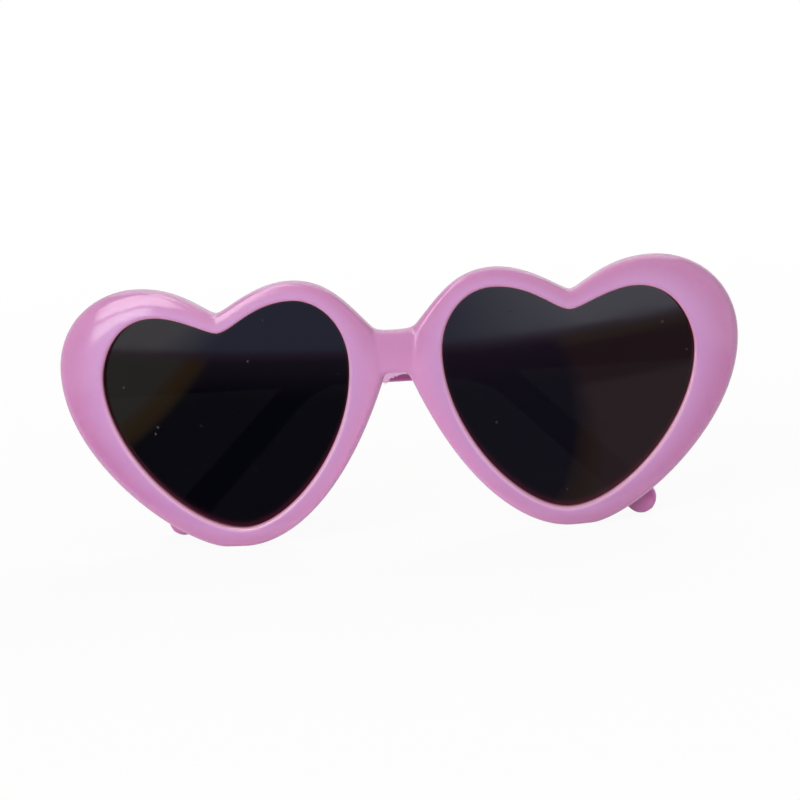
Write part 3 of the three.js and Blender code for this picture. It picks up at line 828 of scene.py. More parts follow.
def half_front(bm, side):
    """Adds the rows of one half to the mesh; side is 1 for the right half and -1 for the left."""
    layers = [bm.verts.layers.float[name] for name in LOOK_ATTRIBUTES]
    made = []
    for row in rows:
        line = []
        for x, y, z, *looks in row:
            vert = bm.verts.new((side * x * MM, (y + BACK_SHIFT) * MM, z * MM))
            for layer, look in zip(layers, looks):
                vert[layer] = look
            line.append(vert)
        made.append(line)
    all_columns = range(len(outline))
    wall_columns = [j for j in all_columns if not on_middle[j]]
    for k in range(len(rows)):
        columns = wall_columns if k >= wall_start else all_columns
        join_rows(bm, made[k], made[(k + 1) % len(rows)], columns)


front_bm = bmesh.new()
for layer_name in (*LOOK_ATTRIBUTES, GATE_ATTRIBUTE):
    front_bm.verts.layers.float.new(layer_name)
half_front(front_bm, 1)
half_front(front_bm, -1)
gate_layer = front_bm.verts.layers.float[GATE_ATTRIBUTE]
for vert in front_bm.verts:
    vert[gate_layer] = 1.0
bmesh.ops.delete(front_bm, geom=[v for v in front_bm.verts if not v.link_faces], context="VERTS")
seam_verts = [v for v in front_bm.verts if abs(v.co.x) < SEAM]
bmesh.ops.remove_doubles(front_bm, verts=seam_verts, dist=SEAM)
open_edges = sum(1 for e in front_bm.edges if len(e.link_faces) != 2)
print("front joined,", open_edges, "open edges")

# %% [markdown]
# The end pieces stand behind the outer lobes: a block that the open temple butts on, and a lower seat
# that the hinge leaf is let into. They are moulded in one with the front, as plain blocks with broken
# edges, so a bevelled box does it.

# %% End pieces
HINGE_HEIGHT = 21.65
ROOT_HEIGHT = 6.2
BUTT_GAP = 0.35
ROOT_LOW = HINGE_HEIGHT - ROOT_HEIGHT / 2
ROOT_HIGH = HINGE_HEIGHT + ROOT_HEIGHT / 2
BUTT_Y = AXIS_Y - BUTT_GAP / 3
SEAT_MARGIN = 0.3
SEAT_NEAR_X = AXIS_X - BARREL_RADIUS - SEAT_MARGIN
BOX_SEGMENTS = 4
BLOCK_ROUNDING = 0.3
SEAT_ROUNDING = 0.2
SEAT_COVER = 0.15


def bevelled_box(bm, low, high, radius, segments=BOX_SEGMENTS):
    """Adds a box with rounded edges, between two corners in millimetres."""
    size = [end - start for start, end in zip(low, high)]
    middle = [(start + end) / 2 for start, end in zip(low, high)]
    place = Matrix.Translation(Vector(middle) * MM) @ Matrix.Diagonal([*(s * MM for s in size), 1.0])
    corners = bmesh.ops.create_cube(bm, size=1.0, matrix=place)["verts"]
    edges = list({edge for vert in corners for edge in vert.link_edges})
    bmesh.ops.bevel(
        bm, geom=edges, offset=radius * MM, offset_type="OFFSET", segments=segments, profile=0.5,
        affect="EDGES", clamp_overlap=True,
    )


def side_box(bm, side, x, y, z, radius):
    """A rounded box given by its ranges, put on the left with side -1."""
    x_range = sorted((side * x[0], side * x[1]))
    bevelled_box(
        bm, (x_range[0], y[0] + BACK_SHIFT, z[0]), (x_range[1], y[1] + BACK_SHIFT, z[1]), radius,
    )


block_x = (INNER_X - BARREL_GAP, OUTER_X)
block_y = (sag(OUTER_X) + RIM_DEPTH / 2, BUTT_Y)
seat_x = (SEAT_NEAR_X, INNER_X)
seat_y = (sag(SEAT_NEAR_X) + groove_back + SEAT_COVER, SEAT_Y)
for side in (1, -1):
    side_box(front_bm, side, block_x, block_y, (ROOT_LOW, ROOT_HIGH), BLOCK_ROUNDING)
    side_box(front_bm, side, seat_x, seat_y, (ROOT_LOW, ROOT_HIGH), SEAT_ROUNDING)
front_mesh = mesh_from(front_bm, "front_moulding")
new_piece("front_moulding", front_mesh, orchid, "front", "frame_plastic", ["front_frame"])

# %% [markdown]
# ## Lenses
#
# Each lens is a heart cut from thin sheet, a little larger than the opening, and bent to the same
# curve as the front, so that its edge sits in the groove. Rings from the middle to the edge make the
# two faces, and a short wall with a small chamfer joins them. A filled outline with a thickness would
# be quicker, but its long flat triangles couldn't follow the curve.

# %% Lenses
LENS_CHAMFER = 0.15
LENS_RINGS = 14
FINE_SHARE = 0.1
RIM_REFLECTION_LEAST = 0.18
RIM_REFLECTION_BELOW = 0.32
coarse_share = 1.0 - FINE_SHARE
lens_reach = ring_inner + LENS_LAP
coarse_rings = np.linspace(0.0, coarse_share, LENS_RINGS)[1:]
fine_rings = coarse_share + FINE_SHARE * eased_shares(LENS_RINGS)[1:]
lens_shares = np.concatenate((coarse_rings, fine_rings))
rim_reflection_width = RIM_REFLECTION_LEAST + RIM_REFLECTION_BELOW * np.clip(-ring_ray[:, 1], 0.0, 1.0)


def lens_mesh(side, name):
    bm = bmesh.new()
    rim_reflection_layer = bm.verts.layers.float.new(RIM_REFLECTION_ATTRIBUTE)
    back = LENS_SET_BACK + LENS_THICKNESS
    profile = [(share, LENS_CHAMFER, LENS_SET_BACK) for share in lens_shares]
    profile += [(1.0, 0.0, LENS_SET_BACK + LENS_CHAMFER), (1.0, 0.0, back - LENS_CHAMFER)]
    profile += [(share, LENS_CHAMFER, back) for share in lens_shares[::-1]]

    def put(x, depth, z, glow=0.0):
        vert = bm.verts.new((side * x * MM, (sag(x) + depth + BACK_SHIFT) * MM, z * MM))
        vert[rim_reflection_layer] = glow
        return vert

    made = []
    for share, inset, depth in profile:
        radius = share * (lens_reach - inset)
        places = HEART_CENTRE + radius[:, None] * ring_ray
        # Painted reflection of the rim: dark red at the edge, fading inwards, wider at the bottom
        in_from_edge = np.clip(ring_inner - radius, 0.0, None)
        glow = np.exp(-(in_from_edge / rim_reflection_width) ** 2)
        made.append([put(x, depth, z, g) for (x, z), g in zip(places, glow)])
    count = len(outline)
    for upper, lower in zip(made, made[1:]):
        join_rows(bm, upper, lower, range(count))
    for ring, depth in ((made[0], LENS_SET_BACK), (made[-1], back)):
        hub = put(HEART_CENTRE[0], depth, HEART_CENTRE[1])
        for j in range(count):
            bm.faces.new((hub, ring[j], ring[(j + 1) % count]))
    return mesh_from(bm, name)


for side, label in ((-1, "left"), (1, "right")):
    mesh = lens_mesh(side, label + "_smoked_lens")
    new_piece(label + "_smoked_lens", mesh, smoke, "front", "smoked_lens", [label + "_lens"])

# %% [markdown]
# ## Temples
#
# A temple is a flat strip that narrows from the hinge to the ear, bends down there, and ends round.
# Its shape follows a rule, so Geometry Nodes make it: a path of three points gets a filleted bend,
# a small circle travels along it, and each point of the circle is pushed outward by the height and
# thickness that the strip has there. Points are closer together towards the ends, which keeps the
# round tip smooth. The named inputs are the sizes that a maker would change.


# %% How a tree starts and ends
def new_tree(name, inputs):
    """A Geometry Nodes tree with named number inputs, as (tree, nodes, inputs by name, geometry)."""
    tree = bpy.data.node_groups.new(name, "GeometryNodeTree")
    tree.interface.new_socket("Geometry", in_out="INPUT", socket_type="NodeSocketGeometry")
    for label in inputs:
        tree.interface.new_socket(label, in_out="INPUT", socket_type="NodeSocketFloat")
    tree.interface.new_socket("Geometry", in_out="OUTPUT", socket_type="NodeSocketGeometry")
    nodes = Nodes(tree)
    entry = nodes.add("NodeGroupInput")
    sizes = {label: nodes.number(entry, label) for label in inputs}
    return tree, nodes, sizes, entry.outputs["Geometry"]


def close_tree(nodes, geometry, material):
    """Ends a tree in real geometry with its material."""
    real = nodes.add("GeometryNodeRealizeInstances", None, {"Geometry": geometry})
    painted = nodes.add("GeometryNodeSetMaterial", None, {"Geometry": real, "Material": material})
    nodes.add("NodeGroupOutput", None, {"Geometry": painted})


print("helpers ready:", new_tree.__name__, close_tree.__name__)

# %% A circle along the temple's path
TEMPLE_STATIONS = 220
SECTION_POINTS = 32
BEND_STEPS = 40


def swept_circle(nodes, size, path):
    """A small circle along the bent path, and the node that keeps each station's place and share."""
    bent = nodes.add(
        "GeometryNodeFilletCurve", {"mode": "POLY"},
        {"Curve": path, "Radius": size["Bend Radius"], "Count": BEND_STEPS},
    )
    line = nodes.add("GeometryNodeCurvePrimitiveLine", None, {"End": (0.0, 1.0, 0.0)})
    stations = nodes.add(
        "GeometryNodeResampleCurve", {"mode": "COUNT"}, {"Curve": line, "Count": TEMPLE_STATIONS},
    )
    index = nodes.number(nodes.add("GeometryNodeInputIndex"), 0)
    share = 0.5 - nodes.math("COSINE", index * (math.pi / (TEMPLE_STATIONS - 1))) * 0.5
    sample = nodes.add(
        "GeometryNodeSampleCurve", {"mode": "FACTOR", "use_all_curves": True},
        {"Curves": bent, "Factor": share},
    )
    laid = nodes.add(
        "GeometryNodeSetPosition", None, {"Geometry": stations, "Position": sample.outputs["Position"]},
    )
    upright = nodes.add("GeometryNodeSetCurveNormal", {"mode": "Z_UP"}, {"Curve": laid})
    kept = nodes.add("GeometryNodeCaptureAttribute", {"domain": "POINT"})
    kept.capture_items.new("VECTOR", "Centre")
    kept.capture_items.new("FLOAT", "Share")
    place = nodes.add("GeometryNodeInputPosition")
    nodes.fill(kept, {"Geometry": upright, "Centre": place, "Share": share})
    circle = nodes.add(
        "GeometryNodeCurvePrimitiveCircle", {"mode": "RADIUS"},
        {"Resolution": SECTION_POINTS, "Radius": size["Edge Radius"]},
    )
    turned = nodes.add(
        "GeometryNodeTransform", None,
        {"Geometry": circle, "Rotation": (0.0, 0.0, math.pi / SECTION_POINTS)},
    )
    tube = nodes.add(
        "GeometryNodeCurveToMesh", None,
        {"Curve": kept.outputs["Geometry"], "Profile Curve": turned, "Fill Caps": True},
    )
    return tube, kept


print("temple has", TEMPLE_STATIONS, "stations of", SECTION_POINTS, "points")

# %% The temple's tree
END_RADIUS = 0.3
BEND_TURN = 0.75
LEAST_TIP = 0.012
TIP_THINNING = 0.6


def round_end(gap, radius):
    """Share of the full size at a distance from a round end."""
    return (1 - (1 - (gap / radius).held()) ** 2.0).sqrt()


def strip_halves(size, travel):
    """Half the strip's height, and half its thickness less the edge, at a distance along it."""
    left = size["Path Length"] - travel
    edge = size["Edge Radius"]
    bend_stop = size["Straight Length"] + size["Bend Radius"] * BEND_TURN
    height = (
        size["Root Height"]
        + (size["Neck Height"] - size["Root Height"]) * (travel / size["Straight Length"]).held()
        + (size["Tip Height"] - size["Neck Height"])
        * ((travel - bend_stop) / (size["Path Length"] - bend_stop)).held()
    )
    root_loss = END_RADIUS * MM * (1 - round_end(travel, END_RADIUS * MM))
    tip_loss = edge * TIP_THINNING * (1 - round_end(left, edge))
    half = height * 0.5 * round_end(left, size["Tip Height"] * 0.5).most(LEAST_TIP) - root_loss
    return half, size["Thickness"] * 0.5 - edge - root_loss - tip_loss


def temple_tree():
    tree, nodes, size, path = new_tree("temple_strip", [
        "Straight Length", "Path Length", "Bend Radius", "Root Height", "Neck Height", "Tip Height",
        "Thickness", "Edge Radius",
    ])
    tube, kept = swept_circle(nodes, size, path)
    half, half_thick = strip_halves(size, nodes.number(kept, "Share") * size["Path Length"])
    edge = size["Edge Radius"]
    corner = half.least(edge)
    centre = kept.outputs["Centre"]
    offset = nodes.vector("SUBTRACT", nodes.add("GeometryNodeInputPosition"), centre)
    thick_part, _, _ = nodes.parts(offset)
    rise = nodes.vector("MULTIPLY", offset, (0.0, 1.0, 1.0))
    rise_length = nodes.length(rise)
    stretch = ((half - corner) + rise_length * (corner / edge)) / rise_length
    raised = nodes.add("ShaderNodeVectorMath", {"operation": "SCALE"}, {0: rise, "Scale": stretch})
    aside = nodes.add("ShaderNodeCombineXYZ", None, {"X": thick_part + thick_part.sign() * half_thick})
    moved = nodes.vector("ADD", centre, nodes.vector("ADD", raised, aside))
    shaped = nodes.add("GeometryNodeSetPosition", None, {"Geometry": tube, "Position": moved})
    close_tree(nodes, shaped, temple_shaded_orchid)
    return tree


temple_strip = temple_tree()
print("tree:", temple_strip.name, len(temple_strip.nodes), "nodes")

# %% The temple's path and folded places
NECK_HEIGHT = 3.4
TIP_HEIGHT = 3.9
STRAIGHT_LENGTH = 45.0
DROOP = math.radians(1.9)
EAR_ANGLE = math.radians(45.0)
BEND_RADIUS = 12.0
TEMPLE_EDGE = 0.5
FOLD_GAP = 0.5
STACK_GAP = 0.35
ROOT_Q = 2 * BUTT_GAP / 3
INNER_P = INNER_X - AXIS_X
OUTER_P = OUTER_X - AXIS_X

# In the temple's own plane, q runs back from the hinge and z is height
bend_start = np.array((STRAIGHT_LENGTH, HINGE_HEIGHT - (STRAIGHT_LENGTH - ROOT_Q) * math.tan(DROOP)))
bend_centre = bend_start - BEND_RADIUS * np.array((math.sin(DROOP), math.cos(DROOP)))
bend_end = bend_centre + BEND_RADIUS * np.array((math.sin(EAR_ANGLE), math.cos(EAR_ANGLE)))
ear = np.array((math.cos(EAR_ANGLE), -math.sin(EAR_ANGLE)))
tip = bend_end + ear * (bend_end[1] - TIP_HEIGHT / 2) / math.sin(EAR_ANGLE)
half_bend = BEND_RADIUS * math.tan((EAR_ANGLE - DROOP) / 2)
corner = bend_end - ear * half_bend
root = np.array((ROOT_Q, HINGE_HEIGHT))
tip_end = tip + ear * TIP_HEIGHT / 2
straight = float(np.linalg.norm(bend_start - root))
path_length = straight + BEND_RADIUS * (EAR_ANGLE - DROOP) + float(np.linalg.norm(tip_end - bend_end))

tip_x = tip[0] + TIP_HEIGHT / 2 - AXIS_X
left_lean = math.atan2(AXIS_Y + INNER_P - sag(tip_x) - RIM_DEPTH - FOLD_GAP, AXIS_X + tip_x)
cross_x = bend_end[0] + NECK_HEIGHT - AXIS_X
stack_rise = TEMPLE_THICKNESS + STACK_GAP - (AXIS_X - cross_x) * math.tan(left_lean)
right_lean = math.atan2(stack_rise, AXIS_X + cross_x)
fold = {"left": -(math.pi / 2 + left_lean), "right": math.pi / 2 - right_lean}
print("temples folded by", {k: round(math.degrees(v), 2) for k, v in fold.items()}, "degrees")


# %% Run a tree and keep its mesh
def baked(data, tree, values):
    """Runs a tree on a mesh or curve with these input values, and gives back a plain mesh."""
    maker = bpy.data.objects.new("maker", data)
    bpy.context.scene.collection.objects.link(maker)
    modifier = maker.modifiers.new("rule", "NODES")
    modifier.node_group = tree
    for item in tree.interface.items_tree:
        if item.in_out == "INPUT" and item.name in values:
            modifier[item.identifier] = values[item.name]
    depsgraph = bpy.context.evaluated_depsgraph_get()
    mesh = bpy.data.meshes.new_from_object(maker.evaluated_get(depsgraph), depsgraph=depsgraph)
    maker.modifiers.remove(modifier)
    bpy.data.objects.remove(maker)
    return mesh


print("helper ready:", baked.__name__)

# %% Temples in their places
DOUBLE = 1e-7


def temple_path():
    """Three points down the middle of the strip, as a curve in its own plane."""
    data = bpy.data.curves.new("temple_path", "CURVE")
    data.dimensions = "3D"
    spline = data.splines.new("POLY")
    spline.points.add(2)
    middle = (INNER_P + OUTER_P) / 2
    for point, (q, z) in zip(spline.points, (root, corner, tip_end)):
        point.co = (middle * MM, q * MM, z * MM, 1.0)
    return data


def hinge_frame(label, folded):
    """From the hinge's own axes (outward, backward, up from the surface) to the standing pair."""
    side = -1.0 if label == "left" else 1.0
    axis = hinge_place[label + "_arm"]
    turn = Matrix.Rotation(fold[label] if folded else 0.0, 4, "Z")
    return Matrix.Translation((axis.x, axis.y, 0.0)) @ turn @ Matrix.Diagonal((side, 1.0, 1.0, 1.0))


def settled(mesh, label, folded, name):
    """A mesh moved to its place on one side, with its faces outward."""
    bm = bmesh.new()
    bm.from_mesh(mesh)
    bmesh.ops.transform(bm, matrix=hinge_frame(label, folded), verts=bm.verts)
    bmesh.ops.remove_doubles(bm, verts=bm.verts, dist=DOUBLE)
    return mesh_from(bm, name)


strip = baked(temple_path(), temple_strip, {
    "Straight Length": straight * MM, "Path Length": path_length * MM, "Bend Radius": BEND_RADIUS * MM,
    "Root Height": ROOT_HEIGHT * MM, "Neck Height": NECK_HEIGHT * MM, "Tip Height": TIP_HEIGHT * MM,
    "Thickness": TEMPLE_THICKNESS * MM, "Edge Radius": TEMPLE_EDGE * MM,
})
for label in ("left", "right"):
    mesh = settled(strip, label, True, label + "_temple_strip")
    new_piece(
        label + "_temple_strip", mesh, temple_shaded_orchid, label + "_arm", "frame_plastic", [label + "_temple"],
    )

# %% [markdown]
# ## Hinges
#
# Each hinge has three knuckles on one pin: two rolled from the leaf in the front, and one between
# them from the leaf in the temple. The knuckles repeat along the pin, so Geometry Nodes sweep one
# rounded section round the bore and set it at each place. The leaves are stamped plates with broken
# edges, let in flush with the plastic.

# %% The knuckles' tree
KNUCKLE_LENGTH = 1.5
KNUCKLE_PLAY = 0.15
SCREW_RADIUS = 0.5
BORE_PLAY = 0.1
KNUCKLE_EDGE = 0.12
KNUCKLE_STEPS = 48
EDGE_STEPS = 4


def knuckle_tree():
    tree, nodes, size, pins = new_tree(
        "hinge_knuckles", ["Barrel Radius", "Bore Radius", "Knuckle Length", "Edge Radius"],
    )
    section = nodes.add(
        "GeometryNodeCurvePrimitiveQuadrilateral", {"mode": "RECTANGLE"},
        {"Width": size["Barrel Radius"] - size["Bore Radius"], "Height": size["Knuckle Length"]},
    )
    rounded = nodes.add(
        "GeometryNodeFilletCurve", {"mode": "POLY"},
        {"Curve": section, "Radius": size["Edge Radius"], "Count": EDGE_STEPS},
    )
    ring = nodes.add(
        "GeometryNodeCurvePrimitiveCircle", {"mode": "RADIUS"},
        {"Resolution": KNUCKLE_STEPS, "Radius": (size["Barrel Radius"] + size["Bore Radius"]) * 0.5},
    )
    upright = nodes.add("GeometryNodeSetCurveNormal", {"mode": "Z_UP"}, {"Curve": ring})
    knuckle = nodes.add("GeometryNodeCurveToMesh", None, {"Curve": upright, "Profile Curve": rounded})
    placed = nodes.add("GeometryNodeInstanceOnPoints", None, {"Points": pins, "Instance": knuckle})
    close_tree(nodes, placed, nickel)
    return tree


hinge_knuckles = knuckle_tree()
print("tree:", hinge_knuckles.name, len(hinge_knuckles.nodes), "nodes")

# %% A leaf with its knuckles
LEAF_SEGMENTS = 3
WEB_SHORT = 0.04
WEB_ROUNDING = 0.1
BORE_RADIUS = SCREW_RADIUS + BORE_PLAY


def knuckles(heights):
    """Knuckles at these heights along the pin, in the hinge's own axes."""
    points = bpy.data.meshes.new("pin_points")
    points.from_pydata([(0.0, 0.0, z * MM) for z in heights], [], [])
    return baked(points, hinge_knuckles, {
        "Barrel Radius": BARREL_RADIUS * MM, "Bore Radius": BORE_RADIUS * MM,
        "Knuckle Length": KNUCKLE_LENGTH * MM, "Edge Radius": KNUCKLE_EDGE * MM,
    })


def leaf(heights, boxes, name):
    """A leaf in the hinge's own axes: its knuckles, and rounded boxes for its plate and webs."""
    bm = bmesh.new()
    bm.from_mesh(knuckles(heights))
    for low, high, radius in boxes:
        bevelled_box(bm, low, high, radius, LEAF_SEGMENTS)
    mesh = bpy.data.meshes.new(name)
    bm.to_mesh(mesh)
    bm.free()
    return mesh


def web(height, low, high):
    """The neck between a plate and its knuckle."""
    half = KNUCKLE_LENGTH / 2 - WEB_SHORT
    return ((*low, height - half), (*high, height + half), WEB_ROUNDING)


print("helpers ready:", knuckles.__name__, leaf.__name__, web.__name__)

# %% Leaves of the front and the temples
LEAF_THICKNESS = 0.6
FRONT_LEAF_HEIGHT = 5.2
TEMPLE_LEAF_HEIGHT = 3.0
TEMPLE_LEAF_LENGTH = 6.5
LEAF_PROUD = 0.04
LEAF_ROUNDING = 0.12
WEB_HALF_WIDTH = 0.8
WEB_ROOT = 0.3
KNUCKLE_PITCH = KNUCKLE_LENGTH + KNUCKLE_PLAY
SEAT_Q = SEAT_Y - AXIS_Y
front_heights = [HINGE_HEIGHT - KNUCKLE_PITCH, HINGE_HEIGHT + KNUCKLE_PITCH]
front_leaf_boxes = [(
    (-BARREL_RADIUS, SEAT_Q - LEAF_THICKNESS, HINGE_HEIGHT - FRONT_LEAF_HEIGHT / 2),
    (BARREL_RADIUS, SEAT_Q + LEAF_PROUD, HINGE_HEIGHT + FRONT_LEAF_HEIGHT / 2), LEAF_ROUNDING,
)]
front_leaf_boxes += [
    web(height, (-WEB_HALF_WIDTH, SEAT_Q - WEB_ROOT), (WEB_HALF_WIDTH, -BORE_RADIUS))
    for height in front_heights
]
front_leaf = leaf(front_heights, front_leaf_boxes, "front_leaf")
temple_leaf = leaf([HINGE_HEIGHT], [
    (
        (INNER_P - LEAF_PROUD, ROOT_Q, HINGE_HEIGHT - TEMPLE_LEAF_HEIGHT / 2),
        (INNER_P + LEAF_THICKNESS, TEMPLE_LEAF_LENGTH, HINGE_HEIGHT + TEMPLE_LEAF_HEIGHT / 2), LEAF_ROUNDING,
    ),
    web(HINGE_HEIGHT, (BORE_RADIUS, ROOT_Q), (INNER_P + WEB_ROOT, BARREL_RADIUS)),
], "temple_leaf")
for label in ("left", "right"):
    mesh = settled(front_leaf, label, False, label + "_front_leaf")
    new_piece(label + "_front_leaf", mesh, nickel, "front", "hinge_metal", [label + "_front_hinge_leaf"])
    mesh = settled(temple_leaf, label, True, label + "_temple_leaf")
    new_piece(
        label + "_temple_leaf", mesh, nickel, label + "_arm", "hinge_metal", [label + "_temple_hinge_leaf"],
    )

# %% [markdown]
# ## Hinge screws
#
# A short screw is the pin of each hinge. It is turned, so its section is spun round the axis, and a
# slot is cut across its domed head. The same screw stands at both hinges, so a small tree sets it
# on two points.

# %% A turned screw
HEAD_RADIUS = 0.85
HEAD_HEIGHT = 0.55
SPIN_STEPS = 48
DOME_STEPS = 6
DOME_SHARE = 0.5
FOOT_SHARE = 0.7
FOOT_CHAMFER = 0.15
HEAD_EDGE = 0.06
HINGE_TOP = HINGE_HEIGHT + KNUCKLE_PITCH + KNUCKLE_LENGTH / 2
HINGE_BOTTOM = HINGE_HEIGHT - KNUCKLE_PITCH - KNUCKLE_LENGTH / 2
HEAD_UNDER = HINGE_TOP + KNUCKLE_PLAY / 2
DOME_START = HEAD_UNDER + DOME_SHARE * HEAD_HEIGHT


def screw_body():
    """The turned screw, without its slot."""
    foot = HINGE_BOTTOM - KNUCKLE_PLAY
    section = [
        (0.0, foot), (FOOT_SHARE * SCREW_RADIUS, foot), (SCREW_RADIUS, foot + FOOT_CHAMFER),
        (SCREW_RADIUS, HEAD_UNDER), (HEAD_RADIUS - HEAD_EDGE, HEAD_UNDER),
        (HEAD_RADIUS, HEAD_UNDER + HEAD_EDGE),
    ]
    for step in range(DOME_STEPS + 1):
        angle = step / DOME_STEPS * math.pi / 2
        rise = DOME_SHARE * HEAD_HEIGHT * math.sin(angle)
        section.append((HEAD_RADIUS * math.cos(angle), DOME_START + rise))
    section[-1] = (0.0, section[-1][1])
    bm = bmesh.new()
    line = [bm.verts.new((radius * MM, 0.0, z * MM)) for radius, z in section]
    edges = [bm.edges.new(pair) for pair in zip(line, line[1:])]
    bmesh.ops.spin(
        bm, geom=line + edges, cent=(0, 0, 0), axis=(0, 0, 1), angle=2 * math.pi, steps=SPIN_STEPS,
        use_merge=True,
    )
    bmesh.ops.remove_doubles(bm, verts=bm.verts, dist=DOUBLE)
    return mesh_from(bm, "screw_body")


turned_screw = screw_body()
print("turned screw:", len(turned_screw.polygons), "faces")

# %% A slot across its head
SLOT_SHARE = 0.16
SLOT_ROUNDING = 0.03
# A little under the dome's first ring, so that the cut meets no ring of points
SLOT_FLOOR = 0.45


def in_order(mesh):
    """The same mesh with its points and faces in a fixed order, because a cut leaves them in any order."""
    points = [tuple(vert.co) for vert in mesh.vertices]
    order = sorted(range(len(points)), key=lambda i: points[i])
    rank = {old: new for new, old in enumerate(order)}
    faces = []
    for polygon in mesh.polygons:
        loop = [rank[i] for i in polygon.vertices]
        first = loop.index(min(loop))
        faces.append(loop[first:] + loop[:first])
    ordered = bpy.data.meshes.new("screw")
    ordered.from_pydata([points[i] for i in order], [], sorted(faces), shade_flat=False)
    return ordered


def slotted(mesh):
    """The same screw with a slot cut across its head."""
    screw = bpy.data.objects.new("slotted_screw", mesh)
    cutter_bm = bmesh.new()
    half = SLOT_SHARE * HEAD_RADIUS
    bevelled_box(
        cutter_bm, (-2 * HEAD_RADIUS, -half, HEAD_UNDER + SLOT_FLOOR * HEAD_HEIGHT),
        (2 * HEAD_RADIUS, half, HEAD_UNDER + 2 * HEAD_HEIGHT), SLOT_ROUNDING,
    )
    cutter = bpy.data.objects.new("slot_cutter", mesh_from(cutter_bm, "slot_cutter"))
    for thing in (screw, cutter):
        bpy.context.scene.collection.objects.link(thing)
    cut = screw.modifiers.new("slot", "BOOLEAN")
    cut.operation = "DIFFERENCE"
    cut.solver = "EXACT"
    cut.object = cutter
    depsgraph = bpy.context.evaluated_depsgraph_get()
    result = bpy.data.meshes.new_from_object(screw.evaluated_get(depsgraph), depsgraph=depsgraph)
    bpy.data.objects.remove(screw)
    bpy.data.objects.remove(cutter)
    return result


screw_mesh = in_order(slotted(turned_screw))
print("slotted screw:", len(screw_mesh.polygons), "faces")

# %% The screw on both hinges
SLOT_TURN = 25.0


def screw_tree(screw_object):
    tree, nodes, size, points = new_tree("hinge_screws", ["Slot Turn"])
    source = nodes.add("GeometryNodeObjectInfo", None, {"Object": screw_object})
    turn = nodes.add("ShaderNodeCombineXYZ", None, {"Z": size["Slot Turn"]})
    placed = nodes.add(
        "GeometryNodeInstanceOnPoints", None,
        {"Points": points, "Instance": source.outputs["Geometry"], "Rotation": turn},
    )
    close_tree(nodes, placed, nickel)
    return tree


pattern = bpy.data.objects.new("screw_pattern", screw_mesh)
bpy.context.scene.collection.objects.link(pattern)
pin_points = bpy.data.meshes.new("hinge_axes")
pin_points.from_pydata([(axis.x, axis.y, 0.0) for axis in hinge_place.values()], [], [])
screws = baked(pin_points, screw_tree(pattern), {"Slot Turn": math.radians(SLOT_TURN)})
bpy.data.objects.remove(pattern)
screws.set_sharp_from_angle(angle=math.radians(SHARP_ANGLE))
new_piece(
    "hinge_screws", screws, nickel, "front", "hinge_metal", ["left_hinge_screw", "right_hinge_screw"],
)

# %% [markdown]
# ## Mould flash under the bridge
#
# Where the two halves of the tool met under the bridge, a little plastic was squeezed out and torn
# off by hand. It leaves a thin ragged fin along the nose arch. The fin shows against the white, so a
# texture wouldn't do: a strip of points follows the arch, and random numbers from a fixed seed give
# its torn edge.

# %% Ragged flash
FLASH_THICKNESS = 0.16
FLASH_DEPTH = 1.0
FLASH_STEPS = 46
FLASH_SEED = 7
FLASH_HANG = 0.85
FLASH_ROOT = 0.25
FLASH_REACH = 0.78
FLASH_RAGGED = 0.2
FLASH_LEAN = 0.05
FLASH_LEAST = 0.02
FLASH_MOST = 1.3
FLASH_SKEW = 0.5
FLASH_SHARP = 50.0


def flash_mesh():
    chance = np.random.default_rng(FLASH_SEED)
    arch = outline[(outline_owner >= MIDDLE_ANCHOR + 1) & (outline_owner <= MIDDLE_ANCHOR + 2)]
    arch = np.vstack((arch[::-1] * (-1.0, 1.0), arch[1:]))
    travel = np.concatenate(([0.0], np.cumsum(np.linalg.norm(np.diff(arch, axis=0), axis=1))))
    stops = np.linspace(0.0, travel[-1] * FLASH_REACH, FLASH_STEPS)
    line = np.column_stack([np.interp(stops, travel, arch[:, i]) for i in (0, 1)])
    share = np.linspace(0.0, 1.0, FLASH_STEPS)
    swell = np.sin(math.pi * share ** FLASH_SKEW) ** 2
    hang = swell * (FLASH_HANG + FLASH_RAGGED * chance.standard_normal(FLASH_STEPS)) - FLASH_LEAST
    hang = np.clip(hang, FLASH_LEAST, FLASH_MOST * FLASH_HANG)
    lean = FLASH_LEAN * chance.standard_normal(FLASH_STEPS)
    rooted = (np.full(FLASH_STEPS, -FLASH_ROOT), np.zeros(FLASH_STEPS))
    bm = bmesh.new()
    edge_light_layer = bm.verts.layers.float.new(EDGE_ATTRIBUTE)
    made = []
    for depth in (FLASH_DEPTH - FLASH_THICKNESS / 2, FLASH_DEPTH + FLASH_THICKNESS / 2):
        for low, skew in (rooted, (hang, lean)):
            made.append([
                bm.verts.new(((x + s) * MM, (sag(x) + depth + BACK_SHIFT) * MM, (z - h) * MM))
                for (x, z), h, s in zip(line, low, skew)
            ])
    front_top, front_low, back_top, back_low = made
    loop = [front_top, front_low, back_low, back_top]
    for upper, lower in zip(loop, loop[1:] + loop[:1]):
        join_rows(bm, upper, lower, range(FLASH_STEPS - 1))
    for j in (0, FLASH_STEPS - 1):
        bm.faces.new([row[j] for row in loop])
    # The whole fin is painted with the pale edge light
    for vert in bm.verts:
        vert[edge_light_layer] = 1.0
    return mesh_from(bm, "mould_flash", FLASH_SHARP)


new_piece("mould_flash", flash_mesh(), orchid, "front", "frame_plastic")

# %% [markdown]
# ## Floor
#
# The pair stands on a white sweep, so everything round it is white. Close to the glasses the floor is
# a real pale surface that takes their shadow, and further off it gives way to plain white for the
# camera and for reflections. More light on a white floor would do that too, but it would wash out the
# plastic.

